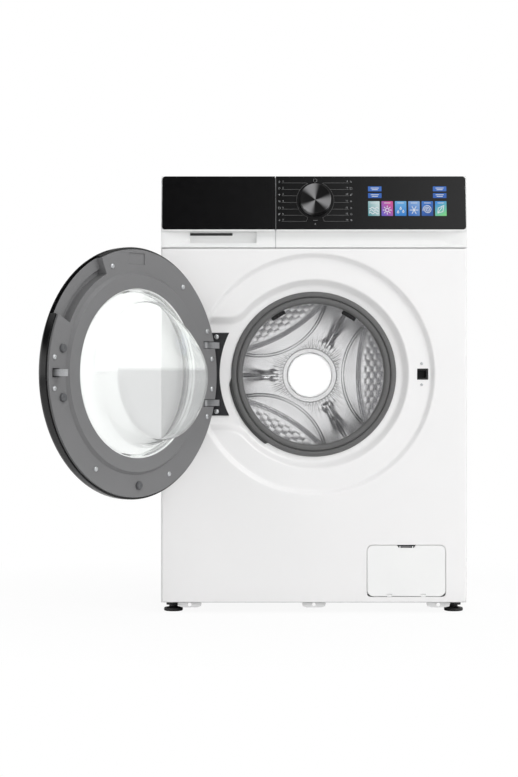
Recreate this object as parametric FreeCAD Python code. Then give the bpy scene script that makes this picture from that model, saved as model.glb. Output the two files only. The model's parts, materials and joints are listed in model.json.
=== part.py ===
import FreeCAD, Part
import math
import os

V = FreeCAD.Vector

# Front-loading washing machine with its door open, in millimetres.
# Origin on the floor under the middle of the cabinet, X to the right, Y to the rear, Z up.

# Cabinet
cabinet_width = 595.0
cabinet_height = 850.0
cabinet_depth = 495.0
axis_height = 464.0
ground_gap = 20.0
sheet = 1.0
edge_round = 5.0
return_flange = 22.0
seam_flange = 28.0
worktop_height = 25.0
worktop_wall = 3.0
press_depth = 3.0
base_wall = 3.0
base_height = 38.0
transit_x = 150.0
transit_z = 180.0
inlet_inset = 97.5
inlet_drop = 62.0
gland_inset = 67.5
gland_height = 120.0

# Clearances
touch_gap = 0.3
running_gap = 0.05
seam_gap = 1.6

# Door, closed sizes; the widths of its rings run inward from the flat's edge
door_flat_radius = 230.0
door_rim = 4.0
door_flat_width = 42.0
door_slope_width = 5.0
door_raised_width = 28.0
door_skirt = 25.0
door_round = 14.0
door_wall = 3.0
door_flat_depth = 4.0
door_step = 6.0
hinge_inset = 18.0
hinge_drop = 15.0
hinge_spread = 56.0
arm_height = 12.0
arm_width = 9.0
pin_radius = 4.0
door_open_angle = 129.0
bowl_gap = 3.5
bowl_taper = 11.0
bowl_depth = 75.0
bowl_wall = 4.0
bowl_round = 8.0
bowl_knee = 10.0
hook_inset = 18.0
hook_length = 28.0
screw_head_radius = 4.2
screw_radius = 2.0

# Pressed front panel and gasket, round the drum axis
door_gap = 1.0
dish_slope = 7.5
dish_depth = 10.0
port_overlap = 2.0
recess_land = 15.0
recess_slope = 13.5
recess_depth = 26.0
pocket_height = 98.0
pocket_fillet = 30.0
pocket_inset = 4.0
port_lip = 8.0
gasket_overlap = 4.0
gasket_reach = 18.5
gasket_wall = 4.0
mouth_gap = 13.5
tab_spacing = 242.0
tab_width = 42.0
tab_drop = 10.0
tab_hole_radius = 3.5

# Fascia, drawer and dial
fascia_height = 140.0
lens_height = 105.0
lens_wall = 3.0
lens_lean = 18.0
lens_inset = 2.0
lens_round = 6.0
fascia_depth = 24.0
fascia_wall = 2.5
drawer_width = 222.0
scoop_depth = 12.0
scoop_end = 55.0
handle_width = 130.0
handle_offset = 36.5
tray_inset = 16.0
tray_length = 230.0
tray_wall = 2.0
tray_rise = 32.0
tray_headroom = 27.0
dial_radius = 30.7
dial_height = 16.0
dial_inset = 78.0
dial_drop = 48.0
dial_shaft_radius = 3.0

# Drum, tub and motor, with the room that they keep inside the cabinet
side_room = 29.5
fascia_overlap = 12.0
motor_gap = 38.0
drum_sheet = 1.0
drum_front_depth = 78.0
drum_length = 280.0
hub_radius = 47.0
lifter_height = 58.0
lifter_width = 72.0
shaft_radius = 15.0
shaft_tail_radius = 12.5
pulley_radius = 140.0
pulley_width = 18.0
belt_wall = 3.0
tub_wall = 4.0
tub_space = 14.0
tub_back_gap = 18.0
tub_front_depth = 66.0
tub_front_length = 161.5
tub_flange = 10.0
bearing_reach = 46.0
weight_width = 30.5
weight_rise = 63.0
weight_right = 150.0
motor_height = 112.0
motor_radius = 56.0
motor_length = 110.0
motor_pulley_radius = 11.2
damper_inset = 68.0
damper_setback = 60.0
damper_rod_radius = 6.0
spring_inset = 33.0
spring_setback = 80.0
spring_radius = 11.0
spring_wire = 2.0

# Filter flap, pump and feet
flap_x = 179.5
flap_width = 152.0
flap_height = 99.0
flap_bottom = 32.0
flap_gap = 1.0
flap_round = 11.0
flap_low_round = 12.0
flap_wall = 2.5
bay_depth = 52.0
knuckle_spread = 33.0
knuckle_width = 9.0
knuckle_pin_radius = 1.0
pump_height = 80.0
pump_radius = 30.0
sump_x = 60.0
sump_depth = 120.0
foot_side = 22.5
foot_inset = 42.0
foot_radius = 18.6
foot_stem_radius = 9.5
foot_screw_radius = 5.0

# Radii that follow from the door
door_radius = door_flat_radius + door_rim
door_step_radius = door_flat_radius - door_flat_width
door_raised_radius = door_step_radius - door_slope_width
door_window_radius = door_raised_radius - door_raised_width
dish_top_radius = door_radius + door_gap
dish_floor_radius = dish_top_radius - dish_slope
pocket_reach = dish_top_radius - pocket_inset
port_radius = door_window_radius + port_overlap
recess_floor_radius = port_radius + recess_land
recess_top_radius = recess_floor_radius + recess_slope
gasket_radius = port_radius + gasket_overlap
mouth_radius = port_radius - gasket_reach
neck_radius = mouth_radius + 29
drum_mouth_radius = mouth_radius + mouth_gap
bowl_root_radius = mouth_radius - bowl_gap
bowl_tip_radius = bowl_root_radius - bowl_taper

# Heights
axis = V(0, 0, axis_height)
base_floor = ground_gap + sheet
deck = cabinet_height - worktop_height
fascia_bottom = cabinet_height - fascia_height
lens_bottom = cabinet_height - lens_height
tray_depth = fascia_height - worktop_height - tray_rise - tray_headroom
spring_foot = axis_height + 168
spring_head = deck - 22

# The tub fills the least of its room to the sides, under the fascia and over the motor
half = cabinet_width / 2
tub_side = half - tub_flange - side_room
tub_above = fascia_bottom + fascia_overlap - axis_height
tub_below = axis_height - motor_height - motor_radius - motor_gap
tub_outer = min(tub_side, tub_above, tub_below)
tub_inner = tub_outer - tub_wall
drum_radius = tub_inner - tub_space
damper_x = tub_outer - damper_inset
spring_x = tub_outer - spring_inset
damper_head = axis_height - math.sqrt(tub_outer**2 - damper_x**2) - 28

# Places across the front
seam_x = drawer_width - half
tray_width = drawer_width - 2 * tray_inset
dial_x = seam_x + dial_inset
hinge_x = hinge_inset - door_flat_radius
hook_x = door_flat_radius - hook_inset
foot_x = half - foot_side

# Depths, from the front to the rear
front = -cabinet_depth / 2
rear = cabinet_depth / 2
fascia_back = front + fascia_depth
dish_floor = front + dish_depth
recess_floor = front + recess_depth
web_y = recess_floor + recess_depth
bay_back = front + bay_depth
door_flat = front + door_flat_depth
door_raised = door_flat + door_step
door_edge = front - seam_gap / 3
door_front = door_edge - door_skirt
hinge_y = door_flat - hinge_drop
drum_front = front + drum_front_depth
drum_back_y = drum_front + drum_length
tub_back_y = drum_back_y + tub_back_gap
bearing_y = tub_back_y + tub_wall
pulley_y = bearing_y + bearing_reach
tub_front_y = front + tub_front_depth
tub_split = tub_front_y + tub_front_length
damper_y = tub_split + damper_setback
spring_y = tub_split + spring_setback


def box(x0, x1, y0, y1, z0, z1):
    return Part.makeBox(x1 - x0, y1 - y0, z1 - z0, V(x0, y0, z0))


def rod(radius, start, end):
    return Part.makeCylinder(radius, (end - start).Length, start, end - start)


def pipe(inner, outer, start, end):
    return rod(outer, start, end).cut(rod(inner, start, end))


def face_of(start, *steps):
    """A face bounded by lines to points and arcs through (middle, end) pairs."""
    edges = []
    here = start
    for step in steps + (start,):
        if isinstance(step, tuple):
            middle, end = step
            edges.append(Part.Arc(here, middle, end).toShape())
        else:
            end = step
            if (end - here).Length > 1e-6:
                edges.append(Part.makeLine(here, end))
        here = end
    return Part.Face(Part.Wire(edges))


def turned(*profile):
    """A (radius, depth) outline turned about the drum axis."""
    corners = [V(radius, y, axis_height) for radius, y in profile]
    return Part.Face(Part.makePolygon(corners + corners[:1])).revolve(axis, V(0, 1, 0), 360)


def about_axis(shape, degrees):
    """A copy swung anticlockwise about the drum axis, as seen from the front."""
    copy = shape.copy()
    copy.rotate(axis, V(0, -1, 0), degrees)
    return copy


def sector(inner, outer, y0, y1, start, sweep):
    outline = ((inner, y0), (outer, y0), (outer, y1), (inner, y1))
    corners = [V(radius, y, axis_height) for radius, y in outline]
    ring = Part.Face(Part.makePolygon(corners + corners[:1])).revolve(axis, V(0, -1, 0), sweep)
    return about_axis(ring, start)


def edges_along(shape, direction):
    lines = [e for e in shape.Edges if isinstance(e.Curve, Part.Line)]
    return [e for e in lines if abs(e.tangentAt(e.FirstParameter).dot(direction)) > 0.999]


def rounded(shape, radius, direction):
    return shape.makeFillet(radius, edges_along(shape, direction))


def mirrored(shape):
    return shape.mirror(V(0, 0, 0), V(1, 0, 0))


def merged(first, *others):
    return first.fuse(list(others)).removeSplitter()


def group(*solids):
    return Part.makeCompound(list(solids))


def at_door(x, y, z):
    return V(x, y, axis_height + z)


def opened(shape):
    copy = shape.copy()
    copy.rotate(V(hinge_x, hinge_y, 0), V(0, 0, 1), -door_open_angle)
    return copy


# Cabinet sheet metal

def recess_wire(y, circle, height, fillet, reach):
    """Round porthole recess that widens on the left into the hinge pocket."""
    centre_z = height + fillet
    centre_x = -math.sqrt((circle + fillet) ** 2 - centre_z**2)
    share = circle / (circle + fillet)
    inward = V(-centre_x, 0, -centre_z).normalize() + V(0, 0, -1)
    turn = V(centre_x, 0, centre_z) + inward.normalize() * fillet
    corner_x = -math.sqrt(reach**2 - height**2)

    def at(x, z):
        return V(x, y, axis_height + z)

    return face_of(
        at(centre_x * share, centre_z * share),
        (at(circle, 0), at(centre_x * share, -centre_z * share)),
        (at(turn.x, -turn.z), at(centre_x, -height)),
        at(corner_x, -height),
        (at(-reach, 0), at(corner_x, height)),
        at(centre_x, height),
        (at(turn.x, turn.z), at(centre_x * share, centre_z * share)),
    ).OuterWire


def front_hollow(grow):
    """The air pressed into the front panel; grown by the sheet it gives the back of the pressing."""
    narrow = pocket_height + grow
    wide = narrow + recess_slope
    bend = pocket_fillet - grow
    reach = pocket_reach + grow
    dish = Part.makeCone(
        dish_top_radius + grow, dish_floor_radius + grow, dish_depth + grow,
        V(0, front, axis_height), V(0, 1, 0),
    )
    top = (recess_top_radius + grow, wide, bend - recess_slope, reach)
    floor = (recess_floor_radius + grow, narrow, bend, reach - sheet)
    mouth = Part.Face(recess_wire(front, *top)).extrude(V(0, dish_depth, 0))
    ends = [recess_wire(dish_floor, *top), recess_wire(recess_floor + grow, *floor)]
    walls = Part.makeLoft(ends, True, True)
    return merged(dish, mouth, walls)


def plinth_tab(x):
    low, high = ground_gap - tab_drop, ground_gap + sheet / 2
    y = front + edge_round
    slope = tab_drop / 3
    wide = tab_width / 2
    plate = face_of(
        V(x - wide - slope, y, high), V(x - wide, y, low),
        V(x + wide, y, low), V(x + wide + slope, y, high),
    ).extrude(V(0, sheet, 0))
    hole_z = ground_gap - tab_drop * 0.45
    return plate.cut(rod(tab_hole_radius, V(x, y - sheet, hole_z), V(x, y + 2 * sheet, hole_z)))


def flap_block(grow, low_round, y0, y1):
    """Flap outline; its lower corners clear the opening's as it swings down."""
    side = flap_width / 2 + grow
    low, high = flap_bottom - grow, flap_bottom + flap_height + grow
    block = box(flap_x - side, flap_x + side, y0, y1, low, high)
    corners = edges_along(block, V(0, 1, 0))
    feet = [e for e in corners if e.BoundBox.ZMax < low + 1]
    heads = [e for e in corners if e.BoundBox.ZMin > high - 1]
    feet_rounded = block.makeFillet(low_round, feet)
    return feet_rounded.common(block.makeFillet(flap_round + grow, heads))


def front_panel():
    outer = box(-half, half, front, front + return_flange, ground_gap, fascia_bottom - seam_gap)
    inner = box(
        sheet - half, half - sheet, front + sheet, front + return_flange,
        ground_gap + sheet, fascia_bottom - seam_gap - sheet,
    )
    corners = [e for e in edges_along(outer, V(0, 0, 1)) if e.BoundBox.YMax < front + sheet]
    insides = [e for e in edges_along(inner, V(0, 0, 1)) if e.BoundBox.YMax < front + 2 * sheet]
    shell = outer.makeFillet(edge_round, corners).cut(inner.makeFillet(edge_round - sheet, insides))
    lip = turned(
        (port_radius, recess_floor), (port_radius + sheet, recess_floor),
        (port_radius + sheet, recess_floor + port_lip), (port_radius, recess_floor + port_lip),
    )
    tabs = [plinth_tab(x) for x in (-tab_spacing, 0, tab_spacing)]
    panel = merged(shell.fuse(front_hollow(sheet)).cut(front_hollow(0)), lip, *tabs)
    cuts = [
        rod(port_radius, V(0, front, axis_height), V(0, recess_floor + port_lip, axis_height)),
        flap_block(flap_gap, flap_low_round - 4 * flap_gap, front - sheet, front + 2 * sheet),
        lock_bezel(touch_gap),
    ]
    screws = lock_screw_places() + hinge_screw_places()
    cuts += [rod(screw_radius + 0.2, p, p + V(0, 6 * sheet, 0)) for p in screws]
    return panel.cut(cuts)


def frustum(y0, y1, z0, z1, x, depth, radius):
    """A rounded rectangle pressed along X, sloping in by its depth."""
    slope = abs(depth)

    def wire(inset, place):
        block = box(0, 1, y0 + inset, y1 - inset, z0 + inset, z1 - inset)
        block = rounded(block, radius - inset, V(1, 0, 0))
        block.translate(V(place, 0, 0))
        return min(block.Faces, key=lambda f: f.CenterOfMass.x).OuterWire

    return Part.makeLoft([wire(0, x), wire(slope, x + depth)], True, True)


def left_side_panel():
    y0 = front + return_flange
    wall = box(-half, sheet - half, y0, rear - sheet, ground_gap, deck)
    rear_flange = box(-half, seam_flange - half, rear - 2 * sheet, rear - sheet, ground_gap, deck)
    head_flange = box(-half, seam_flange / 2 - half, y0, rear - sheet, deck - sheet, deck)
    foot_flange = box(-half, seam_flange - half, y0, rear - sheet, ground_gap, base_floor)
    panel = merged(wall, rear_flange, head_flange, foot_flange)
    fascia_room = box(
        -half - 1, seam_flange - half, y0 - 1, fascia_back + touch_gap,
        fascia_bottom - seam_gap, cabinet_height,
    )
    left_feet = [(x, y) for x, y in foot_places() if x < 0]
    stems = [rod(foot_stem_radius + 1, V(x, y, 0), V(x, y, base_floor + 1)) for x, y in left_feet]
    panel = panel.cut([fascia_room] + stems)
    margin = 2.5 * seam_flange
    span = (y0 + margin, rear - margin, ground_gap + margin, deck - 1.6 * margin)
    grown = [v + s * sheet for v, s in zip(span, (-1, 1, -1, 1))]
    skin = frustum(*grown, -half, press_depth + sheet, margin)
    hollow = frustum(*span, -half, press_depth, margin)
    return panel.fuse(skin).cut(hollow)


def right_side_panel():
    return mirrored(left_side_panel())


def worktop():
    y0 = fascia_back + touch_gap
    block = box(touch_gap - half, half - touch_gap, y0, rear, deck, cabinet_height)
    block = rounded(block, 2 * edge_round, V(0, 0, 1))
    rim = [e for e in block.Edges if e.BoundBox.ZMin > cabinet_height - 0.1]
    block = block.makeFillet(worktop_wall, rim)
    inset = 6 * worktop_wall
    hollow = box(
        inset - half, half - inset, y0 + inset, rear - inset,
        deck - worktop_wall, cabinet_height - worktop_wall,
    )
    return block.cut(hollow)


def transit_places():
    return [V(x, rear, axis_height + z) for x in (-transit_x, transit_x) for z in (-transit_z, transit_z)]


def inlet_place():
    return V(inlet_inset - half, rear, deck - inlet_drop)


def gland_places():
    return [V(x, rear, gland_height) for x in (gland_inset - half, half - gland_inset)]


def rear_panel():
    side = half - seam_flange / 3
    low, high = base_floor + 2 * seam_flange, deck - seam_flange / 2
    plate = rounded(box(-side, side, rear - sheet, rear, low, high), 2 * edge_round, V(0, 1, 0))

    def dome(grow, y0):
        wide = pulley_radius + 25 + grow
        return Part.makeCone(wide, wide - 12, 8, V(0, y0, axis_height), V(0, 1, 0))

    plate = plate.fuse(dome(sheet, rear)).cut(dome(0, rear - sheet))
    for z in (low + 75, high - 90):
        bead = box(60 - side, side - 60, rear, rear + press_depth, z - 12, z + 12)
        plate = plate.fuse(rounded(bead, 11, V(0, 1, 0)))
    holes = [rod(11, p - V(0, 2 * sheet, 0), p + V(0, 6, 0)) for p in transit_places()]
    holes += [rod(9, p - V(0, 2 * sheet, 0), p + V(0, 6, 0)) for p in gland_places()]
    holes.append(rod(14, inlet_place() - V(0, 2 * sheet, 0), inlet_place() + V(0, 6, 0)))
    holes += [
        rod(screw_radius + 0.2, p - V(0, 2 * sheet, 0), p + V(0, 6, 0)) for p in rear_screw_places()
    ]
    return plate.cut(holes)


def rear_screw_places():
    x = half - seam_flange * 0.6
    low, high = base_floor + 2.6 * seam_flange, deck - seam_flange
    return [V(s * x, rear, low + (high - low) * i / 3) for s in (-1, 1) for i in range(4)]


def bay_block(grow, y0, y1):
    return box(
        flap_x - flap_width / 2 + 4 - grow, flap_x + flap_width / 2 - 4 + grow, y0, y1,
        flap_bottom + 4 - grow, flap_bottom + flap_height - 4 + grow,
    )


def knuckle_places():
    """Middles of the two hinge knuckles in the flap's lower edge."""
    return [V(flap_x + x, front + 1.5, flap_bottom + 1.5) for x in (-knuckle_spread, knuckle_spread)]


def knuckle(place):
    """Tongue from the filter bay that carries one of the flap's hinge pins."""
    w = V(knuckle_width / 2, 0, 0)
    eye = rod(2.2, place - w, place + w)
    web = box(place.x - w.x, place.x + w.x, place.y, front + 14, place.z - 1.2, place.z + 1.2)
    rise = box(place.x - w.x, place.x + w.x, front + 5, front + 14, place.z - 1.2, flap_bottom + 6)
    bore = rod(knuckle_pin_radius + running_gap, place - w * 2, place + w * 2)
    return merged(eye, web, rise).cut(bore)


def foot_places():
    return [(x, y) for y in (front + foot_inset, rear - foot_inset) for x in (-foot_x, foot_x)]


def base_tray():
    x, y0, y1 = half - 2 * sheet, front + return_flange + touch_gap, rear - 3 * sheet
    high = base_floor + base_height
    tray = rounded(box(-x, x, y0, y1, base_floor, high), 3 * edge_round, V(0, 0, 1))
    hollow = box(
        base_wall - x, x - base_wall, y0 + base_wall, y1 - base_wall, base_floor + base_wall, high
    )
    tray = tray.cut(rounded(hollow, 3 * edge_round - base_wall, V(0, 0, 1)))
    ribs = [
        box(1 - x, x - 1, y, y + base_wall, base_floor, base_floor + 14)
        for y in (front + sump_depth + 37.5, damper_y + 20)
    ]
    bosses = [rod(16, V(fx, fy, base_floor), V(fx, fy, high)) for fx, fy in foot_places()]
    plinths = [
        rod(18, V(x, damper_y, base_floor), V(x, damper_y, high)) for x in (-damper_x, damper_x)
    ]
    bay = bay_block(0, front + 12, bay_back)
    pump_seat = V(flap_x, bay_back, pump_height)
    post = box(
        flap_x - 22, flap_x + 22, bay_back + 40, bay_back + 80, base_floor, pump_height - pump_radius * 0.8
    )
    knuckles = [knuckle(place) for place in knuckle_places()]
    tray = merged(tray, bay, post, *ribs, *bosses, *plinths, *knuckles)
    holes = [bay_block(-base_wall, front, bay_back - base_wall)]
    holes.append(rod(pump_radius + touch_gap, pump_seat - V(0, 10, 0), pump_seat + V(0, 120, 0)))
    holes += [
        rod(foot_screw_radius + running_gap, V(fx, fy, 0), V(fx, fy, high + 1)) for fx, fy in foot_places()
    ]
    return tray.cut(holes)


def top_rails():
    x = half - sheet
    y0, y1 = front + return_flange + 2 * sheet, rear - 3 * sheet
    top = deck - sheet
    web = box(-x, 2 * sheet - x, y0, y1, top - 36, top)
    shelf = box(-x, seam_flange - x, y0, y1, top - 2 * sheet, top)
    hanger = box(-x, 14 - spring_x, spring_y - 14, spring_y + 14, spring_head, spring_head + 3 * sheet)
    brace = face_of(
        V(2 * sheet - x, spring_y, spring_head), V(2 * sheet - x, spring_y, spring_head - 26),
        V(-spring_x - 22, spring_y, spring_head),
    ).extrude(V(0, 2 * sheet, 0))
    rail = merged(web, shelf, hanger, brace)
    hook = V(-spring_x, spring_y, spring_head - 9)
    rail = rail.cut(rod(spring_wire + touch_gap, hook, V(hook.x, hook.y, deck)))
    return group(rail, mirrored(rail), crossbar())


def crossbar():
    """Channel across the front, between the rails and under the worktop."""
    x = half - sheet - seam_flange - touch_gap
    y0 = fascia_back + 14
    top = deck - touch_gap
    bar = box(-x, x, y0, y0 + 30, top - 12, top)
    return bar.cut(box(-x, x, y0 + 2 * sheet, y0 + 30 - 2 * sheet, top - 12, top - 2 * sheet))


# Fascia, drawer and dial

def scoop():
    """Finger hollow along the foot of the fascia, with slanted ends."""
    y1 = front + scoop_depth
    z0, z1 = fascia_bottom + 4, lens_bottom - 2
    side = half - 6
    inner = side - scoop_end
    plan = face_of(
        V(-side, front, z0), V(-inner, y1, z0), V(inner, y1, z0), V(side, front, z0),
        V(side, front - scoop_depth, z0), V(-side, front - scoop_depth, z0),
    ).extrude(V(0, 0, z1 - z0))
    middle = V(-half, front + scoop_depth * 0.75, z0 + (z1 - z0) * 0.35)
    section = face_of(
        V(-half, front, z0), (middle, V(-half, y1, z1)), V(-half, front - scoop_depth, z1),
        V(-half, front - scoop_depth, z0),
    ).extrude(V(cabinet_width, 0, 0))
    return plan.common(section)


def fascia_block(x0, x1, inset):
    """White moulding behind the lens, upright at its foot and leaning back above."""
    outline = face_of(
        V(x0, front + inset, fascia_bottom + inset), V(x0, front + inset, lens_bottom),
        V(x0, front + lens_lean + inset, cabinet_height - inset),
        V(x0, fascia_back, cabinet_height - inset),
        V(x0, fascia_back, fascia_bottom + inset),
    )
    return outline.extrude(V(x1 - x0, 0, 0))


def lens_block(x0, x1):
    y0 = front - lens_wall
    outline = face_of(
        V(x0, y0, lens_bottom), V(x0, front, lens_bottom),
        V(x0, front + lens_lean, cabinet_height), V(x0, y0 + lens_lean, cabinet_height),
    )
    return outline.extrude(V(x1 - x0, 0, 0))


def rounded_lens(x0, x1, outer_x):
    lens = lens_block(x0, x1)
    ends = edges_along(lens, V(0, 1, 0))
    corners = [e for e in ends if abs(e.BoundBox.XMin - outer_x) < 1]
    return lens.makeFillet(lens_round, corners)


def dial_normal():
    return V(0, -lens_height, lens_lean).normalize()


def dial_centre():
    z = cabinet_height - dial_drop
    return V(dial_x, front - lens_wall + lens_lean * (z - lens_bottom) / lens_height, z)


def dial_bore():
    centre, normal = dial_centre(), dial_normal()
    return rod(dial_shaft_radius + running_gap, centre + normal * 5, centre - normal * 60)


def control_fascia():
    x0, x1 = seam_x + seam_gap, half
    wall = fascia_wall
    block = fascia_block(x0, x1, 0).cut(fascia_block(x0 + wall, x1 - wall, wall))
    backing = scoop_backing(x0, x1)
    return merged(block, backing).cut([scoop(), dial_bore()])


def scoop_backing(x0, x1):
    """Moulded wall behind the finger hollow."""
    y0 = front + fascia_wall
    return box(x0, x1, y0, y0 + scoop_depth, fascia_bottom, lens_bottom)


def control_lens():
    lens = rounded_lens(seam_x + seam_gap, half - lens_inset, half - lens_inset)
    return lens.cut(dial_bore())


def control_board():
    x0, x1 = dial_x - 62.5, half - 30
    z0, z1 = lens_bottom + 8, deck - 16
    tray = box(x0, x1, fascia_back, fascia_back + 13, z0, z1)
    tray = tray.cut(box(x0 + 2, x1 - 2, fascia_back + 2, fascia_back + 13, z0 + 2, z1 - 2))
    fins = [
        box(x, x + 3, fascia_back + 2, fascia_back + 12, z0 + 8, z1 - 8)
        for x in [x1 - 147.5 + 12 * i for i in range(4)]
    ]
    return merged(tray, *fins).cut(dial_bore())


def placed_on_lens(shape):
    """Moves a shape made on +Z at the origin to the dial's place on the lens."""
    copy = shape.copy()
    copy.Placement = FreeCAD.Placement(dial_centre(), FreeCAD.Rotation(V(0, 0, 1), dial_normal()))
    return copy


def program_dial():
    r, h = dial_radius, dial_height
    profile = face_of(
        V(0, 0, touch_gap), V(r, 0, touch_gap), V(r - 0.6, 0, h - 3),
        (V(r - 1.8, 0, h - 0.9), V(r - 4, 0, h)), (V(r * 0.5, 0, h - 1.6), V(0, 0, h - 2)),
    )
    knob = profile.revolve(V(0, 0, 0), V(0, 0, 1), 360)
    groove = box(-0.9, 0.9, r * 0.55, r, h - 2.4, h + 1)
    shaft = rod(dial_shaft_radius, V(0, 0, -fascia_depth - 12), V(0, 0, h / 2))
    return placed_on_lens(merged(knob.cut(groove), shaft))


def handle_pocket(grow):
    """Finger pocket in the drawer's foot, behind the scoop."""
    x1 = seam_x - handle_offset
    return box(
        x1 - handle_width - grow, x1 + grow, front - 1, front + scoop_depth + 8 + grow,
        fascia_bottom + 9 - grow, lens_bottom - 3 + grow,
    )


def drawer_front():
    x0, x1 = -half, seam_x
    wall = fascia_wall
    block = fascia_block(x0, x1, 0).cut(fascia_block(x0 + wall, x1 - wall, wall))
    pocket = handle_pocket(wall).common(fascia_block(x0, x1, 0))
    shell = merged(block, scoop_backing(x0, x1), pocket)
    plate = box(
        x0 + wall, x1 - wall, fascia_back - wall, fascia_back,
        lens_bottom - 6, lens_bottom + tray_depth + 12,
    )
    return merged(shell, plate).cut([scoop(), handle_pocket(0)])


def drawer_lens():
    return rounded_lens(lens_inset - half, seam_x, lens_inset - half)


def tray_block(grow):
    middle = -half + drawer_width / 2
    z0 = fascia_bottom + tray_rise
    return box(
        middle - tray_width / 2 - grow, middle + tray_width / 2 + grow,
        fascia_back, fascia_back + tray_length + grow, z0 - grow, z0 + tray_depth,
    )


def tray_rail(side, gap):
    """Runner lip along one side of the tray."""
    middle = -half + drawer_width / 2
    edge = middle + side * tray_width / 2
    top = fascia_bottom + tray_rise + tray_depth
    x0, x1 = sorted((edge, edge + side * (3 + gap)))
    return box(x0, x1, fascia_back, fascia_back + tray_length, top - 4 - gap, top)


def tray_cells():
    block = tray_block(0).BoundBox
    w = tray_wall
    y0, y1 = block.YMin + 12, block.YMax - w
    z0, z1 = block.ZMin + w, block.ZMax
    x0, x1 = block.XMin, block.XMax
    split = x0 + tray_width * 0.36
    bar = y0 + tray_length * 0.5
    return [
        box(x0 + w, split, y0, y1, z0, z1),
        box(split + w, x1 - w, y0, bar, z0, z1),
        box(split + w, x1 - w, bar + w, y1, z0, z1),
    ]


def drawer_tray():
    tray = merged(tray_block(0), tray_rail(-1, 0), tray_rail(1, 0))
    return tray.cut([cell.makeFillet(6, edges_along(cell, V(0, 0, 1))) for cell in tray_cells()])


def siphon_cap():
    cell = tray_cells()[1].BoundBox
    top = cell.ZMax - 14
    y0 = cell.YMin + touch_gap
    plate = box(cell.XMin + 8, cell.XMax - 8, y0, y0 + 40, top, top + 2.5)
    feet = [
        rod(3, V(x, y0 + 20, cell.ZMin), V(x, y0 + 20, top)) for x in (cell.XMin + 20, cell.XMax - 20)
    ]
    tube = pipe(4, 6, V(cell.Center.x, y0 + 20, cell.ZMin + 4), V(cell.Center.x, y0 + 20, top))
    return merged(plate, tube, *feet)


def dispenser_housing():
    gap, wall = 3 + touch_gap, 2.5
    low = tray_block(gap).BoundBox
    x0, x1, y1 = low.XMin, low.XMax, low.YMax
    z0, z1 = low.ZMin - 6, low.ZMax + 5
    y0 = fascia_back + 1
    outer = box(x0 - wall, x1 + wall, y0, y1 + wall, z0 - wall, z1 + wall)
    inner = box(x0, x1, y0 - 1, y1, z0, z1)
    top = low.ZMax
    ledges = [
        box(min(e, e + s * 3), max(e, e + s * 3), y0, y1, top - 8, top - 4 - touch_gap)
        for e, s in ((x0, 1), (x1, -1))
    ]
    spigot_top = hose_place()
    spigot = rod(16, spigot_top - V(0, 0, 30), spigot_top + V(0, 0, 1))
    ribs = [
        box(x0 + 10, x1 - 10, y, y + 2, z1 + wall, deck - 12 - touch_gap)
        for y in (fascia_back + 20, fascia_back + 34)
    ]
    housing = merged(outer.cut(inner), spigot, *ledges, *ribs)
    return housing.cut(rod(13, spigot_top - V(0, 0, 31), spigot_top + V(0, 0, wall + 1)))


def hose_place():
    """Foot of the dispenser housing, where its spigot starts."""
    low = tray_block(3 + touch_gap).BoundBox
    return V(low.Center.x, front + 180, low.ZMin - 6 - 2.5)


def hose_foot():
    """Height where the hose stands clear of the round tub."""
    reach = abs(hose_place().x) - 24
    return axis_height + math.sqrt(tub_outer**2 - reach**2) + 2


# Door, built shut and then swung open

def on_flat(degrees, share):
    """A place on the door's flat ring, at a share of its width from the step."""
    radius = door_step_radius + share * door_flat_width
    turn = math.radians(degrees)
    return at_door(radius * math.cos(turn), door_flat, radius * math.sin(turn))


def door_screw_places():
    spots = (
        (7.4, 0.71), (-7.4, 0.71), (71.4, 0.45), (128.2, 0.525), (157.8, 0.69), (172.3, 0.69),
        (-157.8, 0.69), (-172.3, 0.69), (-57.7, 0.425), (-115.5, 0.51),
    )
    return [on_flat(*spot) for spot in spots]


def grip(inset, depth):
    """Finger hollow behind the rim, on the free side above the latch."""
    top = door_flat + 1 - inset
    inner, outer = door_step_radius + 10 - inset, door_radius + 2
    start, sweep = 27 - inset / 4, 39 + inset / 2
    main = sector(inner + 8, outer, top - depth + 6, top, start, sweep)
    groove = sector(inner, inner + 10, top - depth, top, start, sweep)
    return merged(main, groove)


def arm_slots():
    slots = []
    for z in (-hinge_spread, hinge_spread):
        tall = arm_height / 2 + 1
        slots.append(box(
            hinge_x - 28, hinge_x + 21, hinge_y - arm_width, door_flat + 1,
            axis_height + z - tall, axis_height + z + tall,
        ))
    return slots


def hook_slot():
    return box(
        hook_x - 9, hook_x + 9, door_front + door_wall + 2, door_flat + 1, axis_height - 8, axis_height + 8
    )


def door_outer_trim():
    r, f, w = door_radius, door_front, door_wall
    bend = door_round
    mid = bend * (1 - math.sqrt(0.5))
    skin = r - door_flat_radius - touch_gap
    profile = face_of(
        at_door(door_window_radius, f + 8, 0), at_door(door_step_radius, f, 0),
        at_door(r - bend, f, 0),
        (at_door(r - mid, f + mid, 0), at_door(r, f + bend, 0)),
        at_door(r, door_edge, 0), at_door(r - skin, door_edge, 0), at_door(r - skin, f + bend, 0),
        (at_door(r - mid - w * 0.8, f + mid + w * 0.8, 0), at_door(r - bend, f + w, 0)),
        at_door(door_step_radius, f + w, 0), at_door(door_window_radius + w, f + 8 + w, 0),
        at_door(door_window_radius + w, door_flat - 10, 0),
        at_door(door_window_radius, door_flat - 10, 0),
    )
    trim = profile.revolve(axis, V(0, 1, 0), 360)
    notch = sector(door_flat_radius - 2, r + 2, door_front + 7, door_edge + 1, 27, 39)
    return opened(trim.cut(arm_slots() + [notch]))


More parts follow.
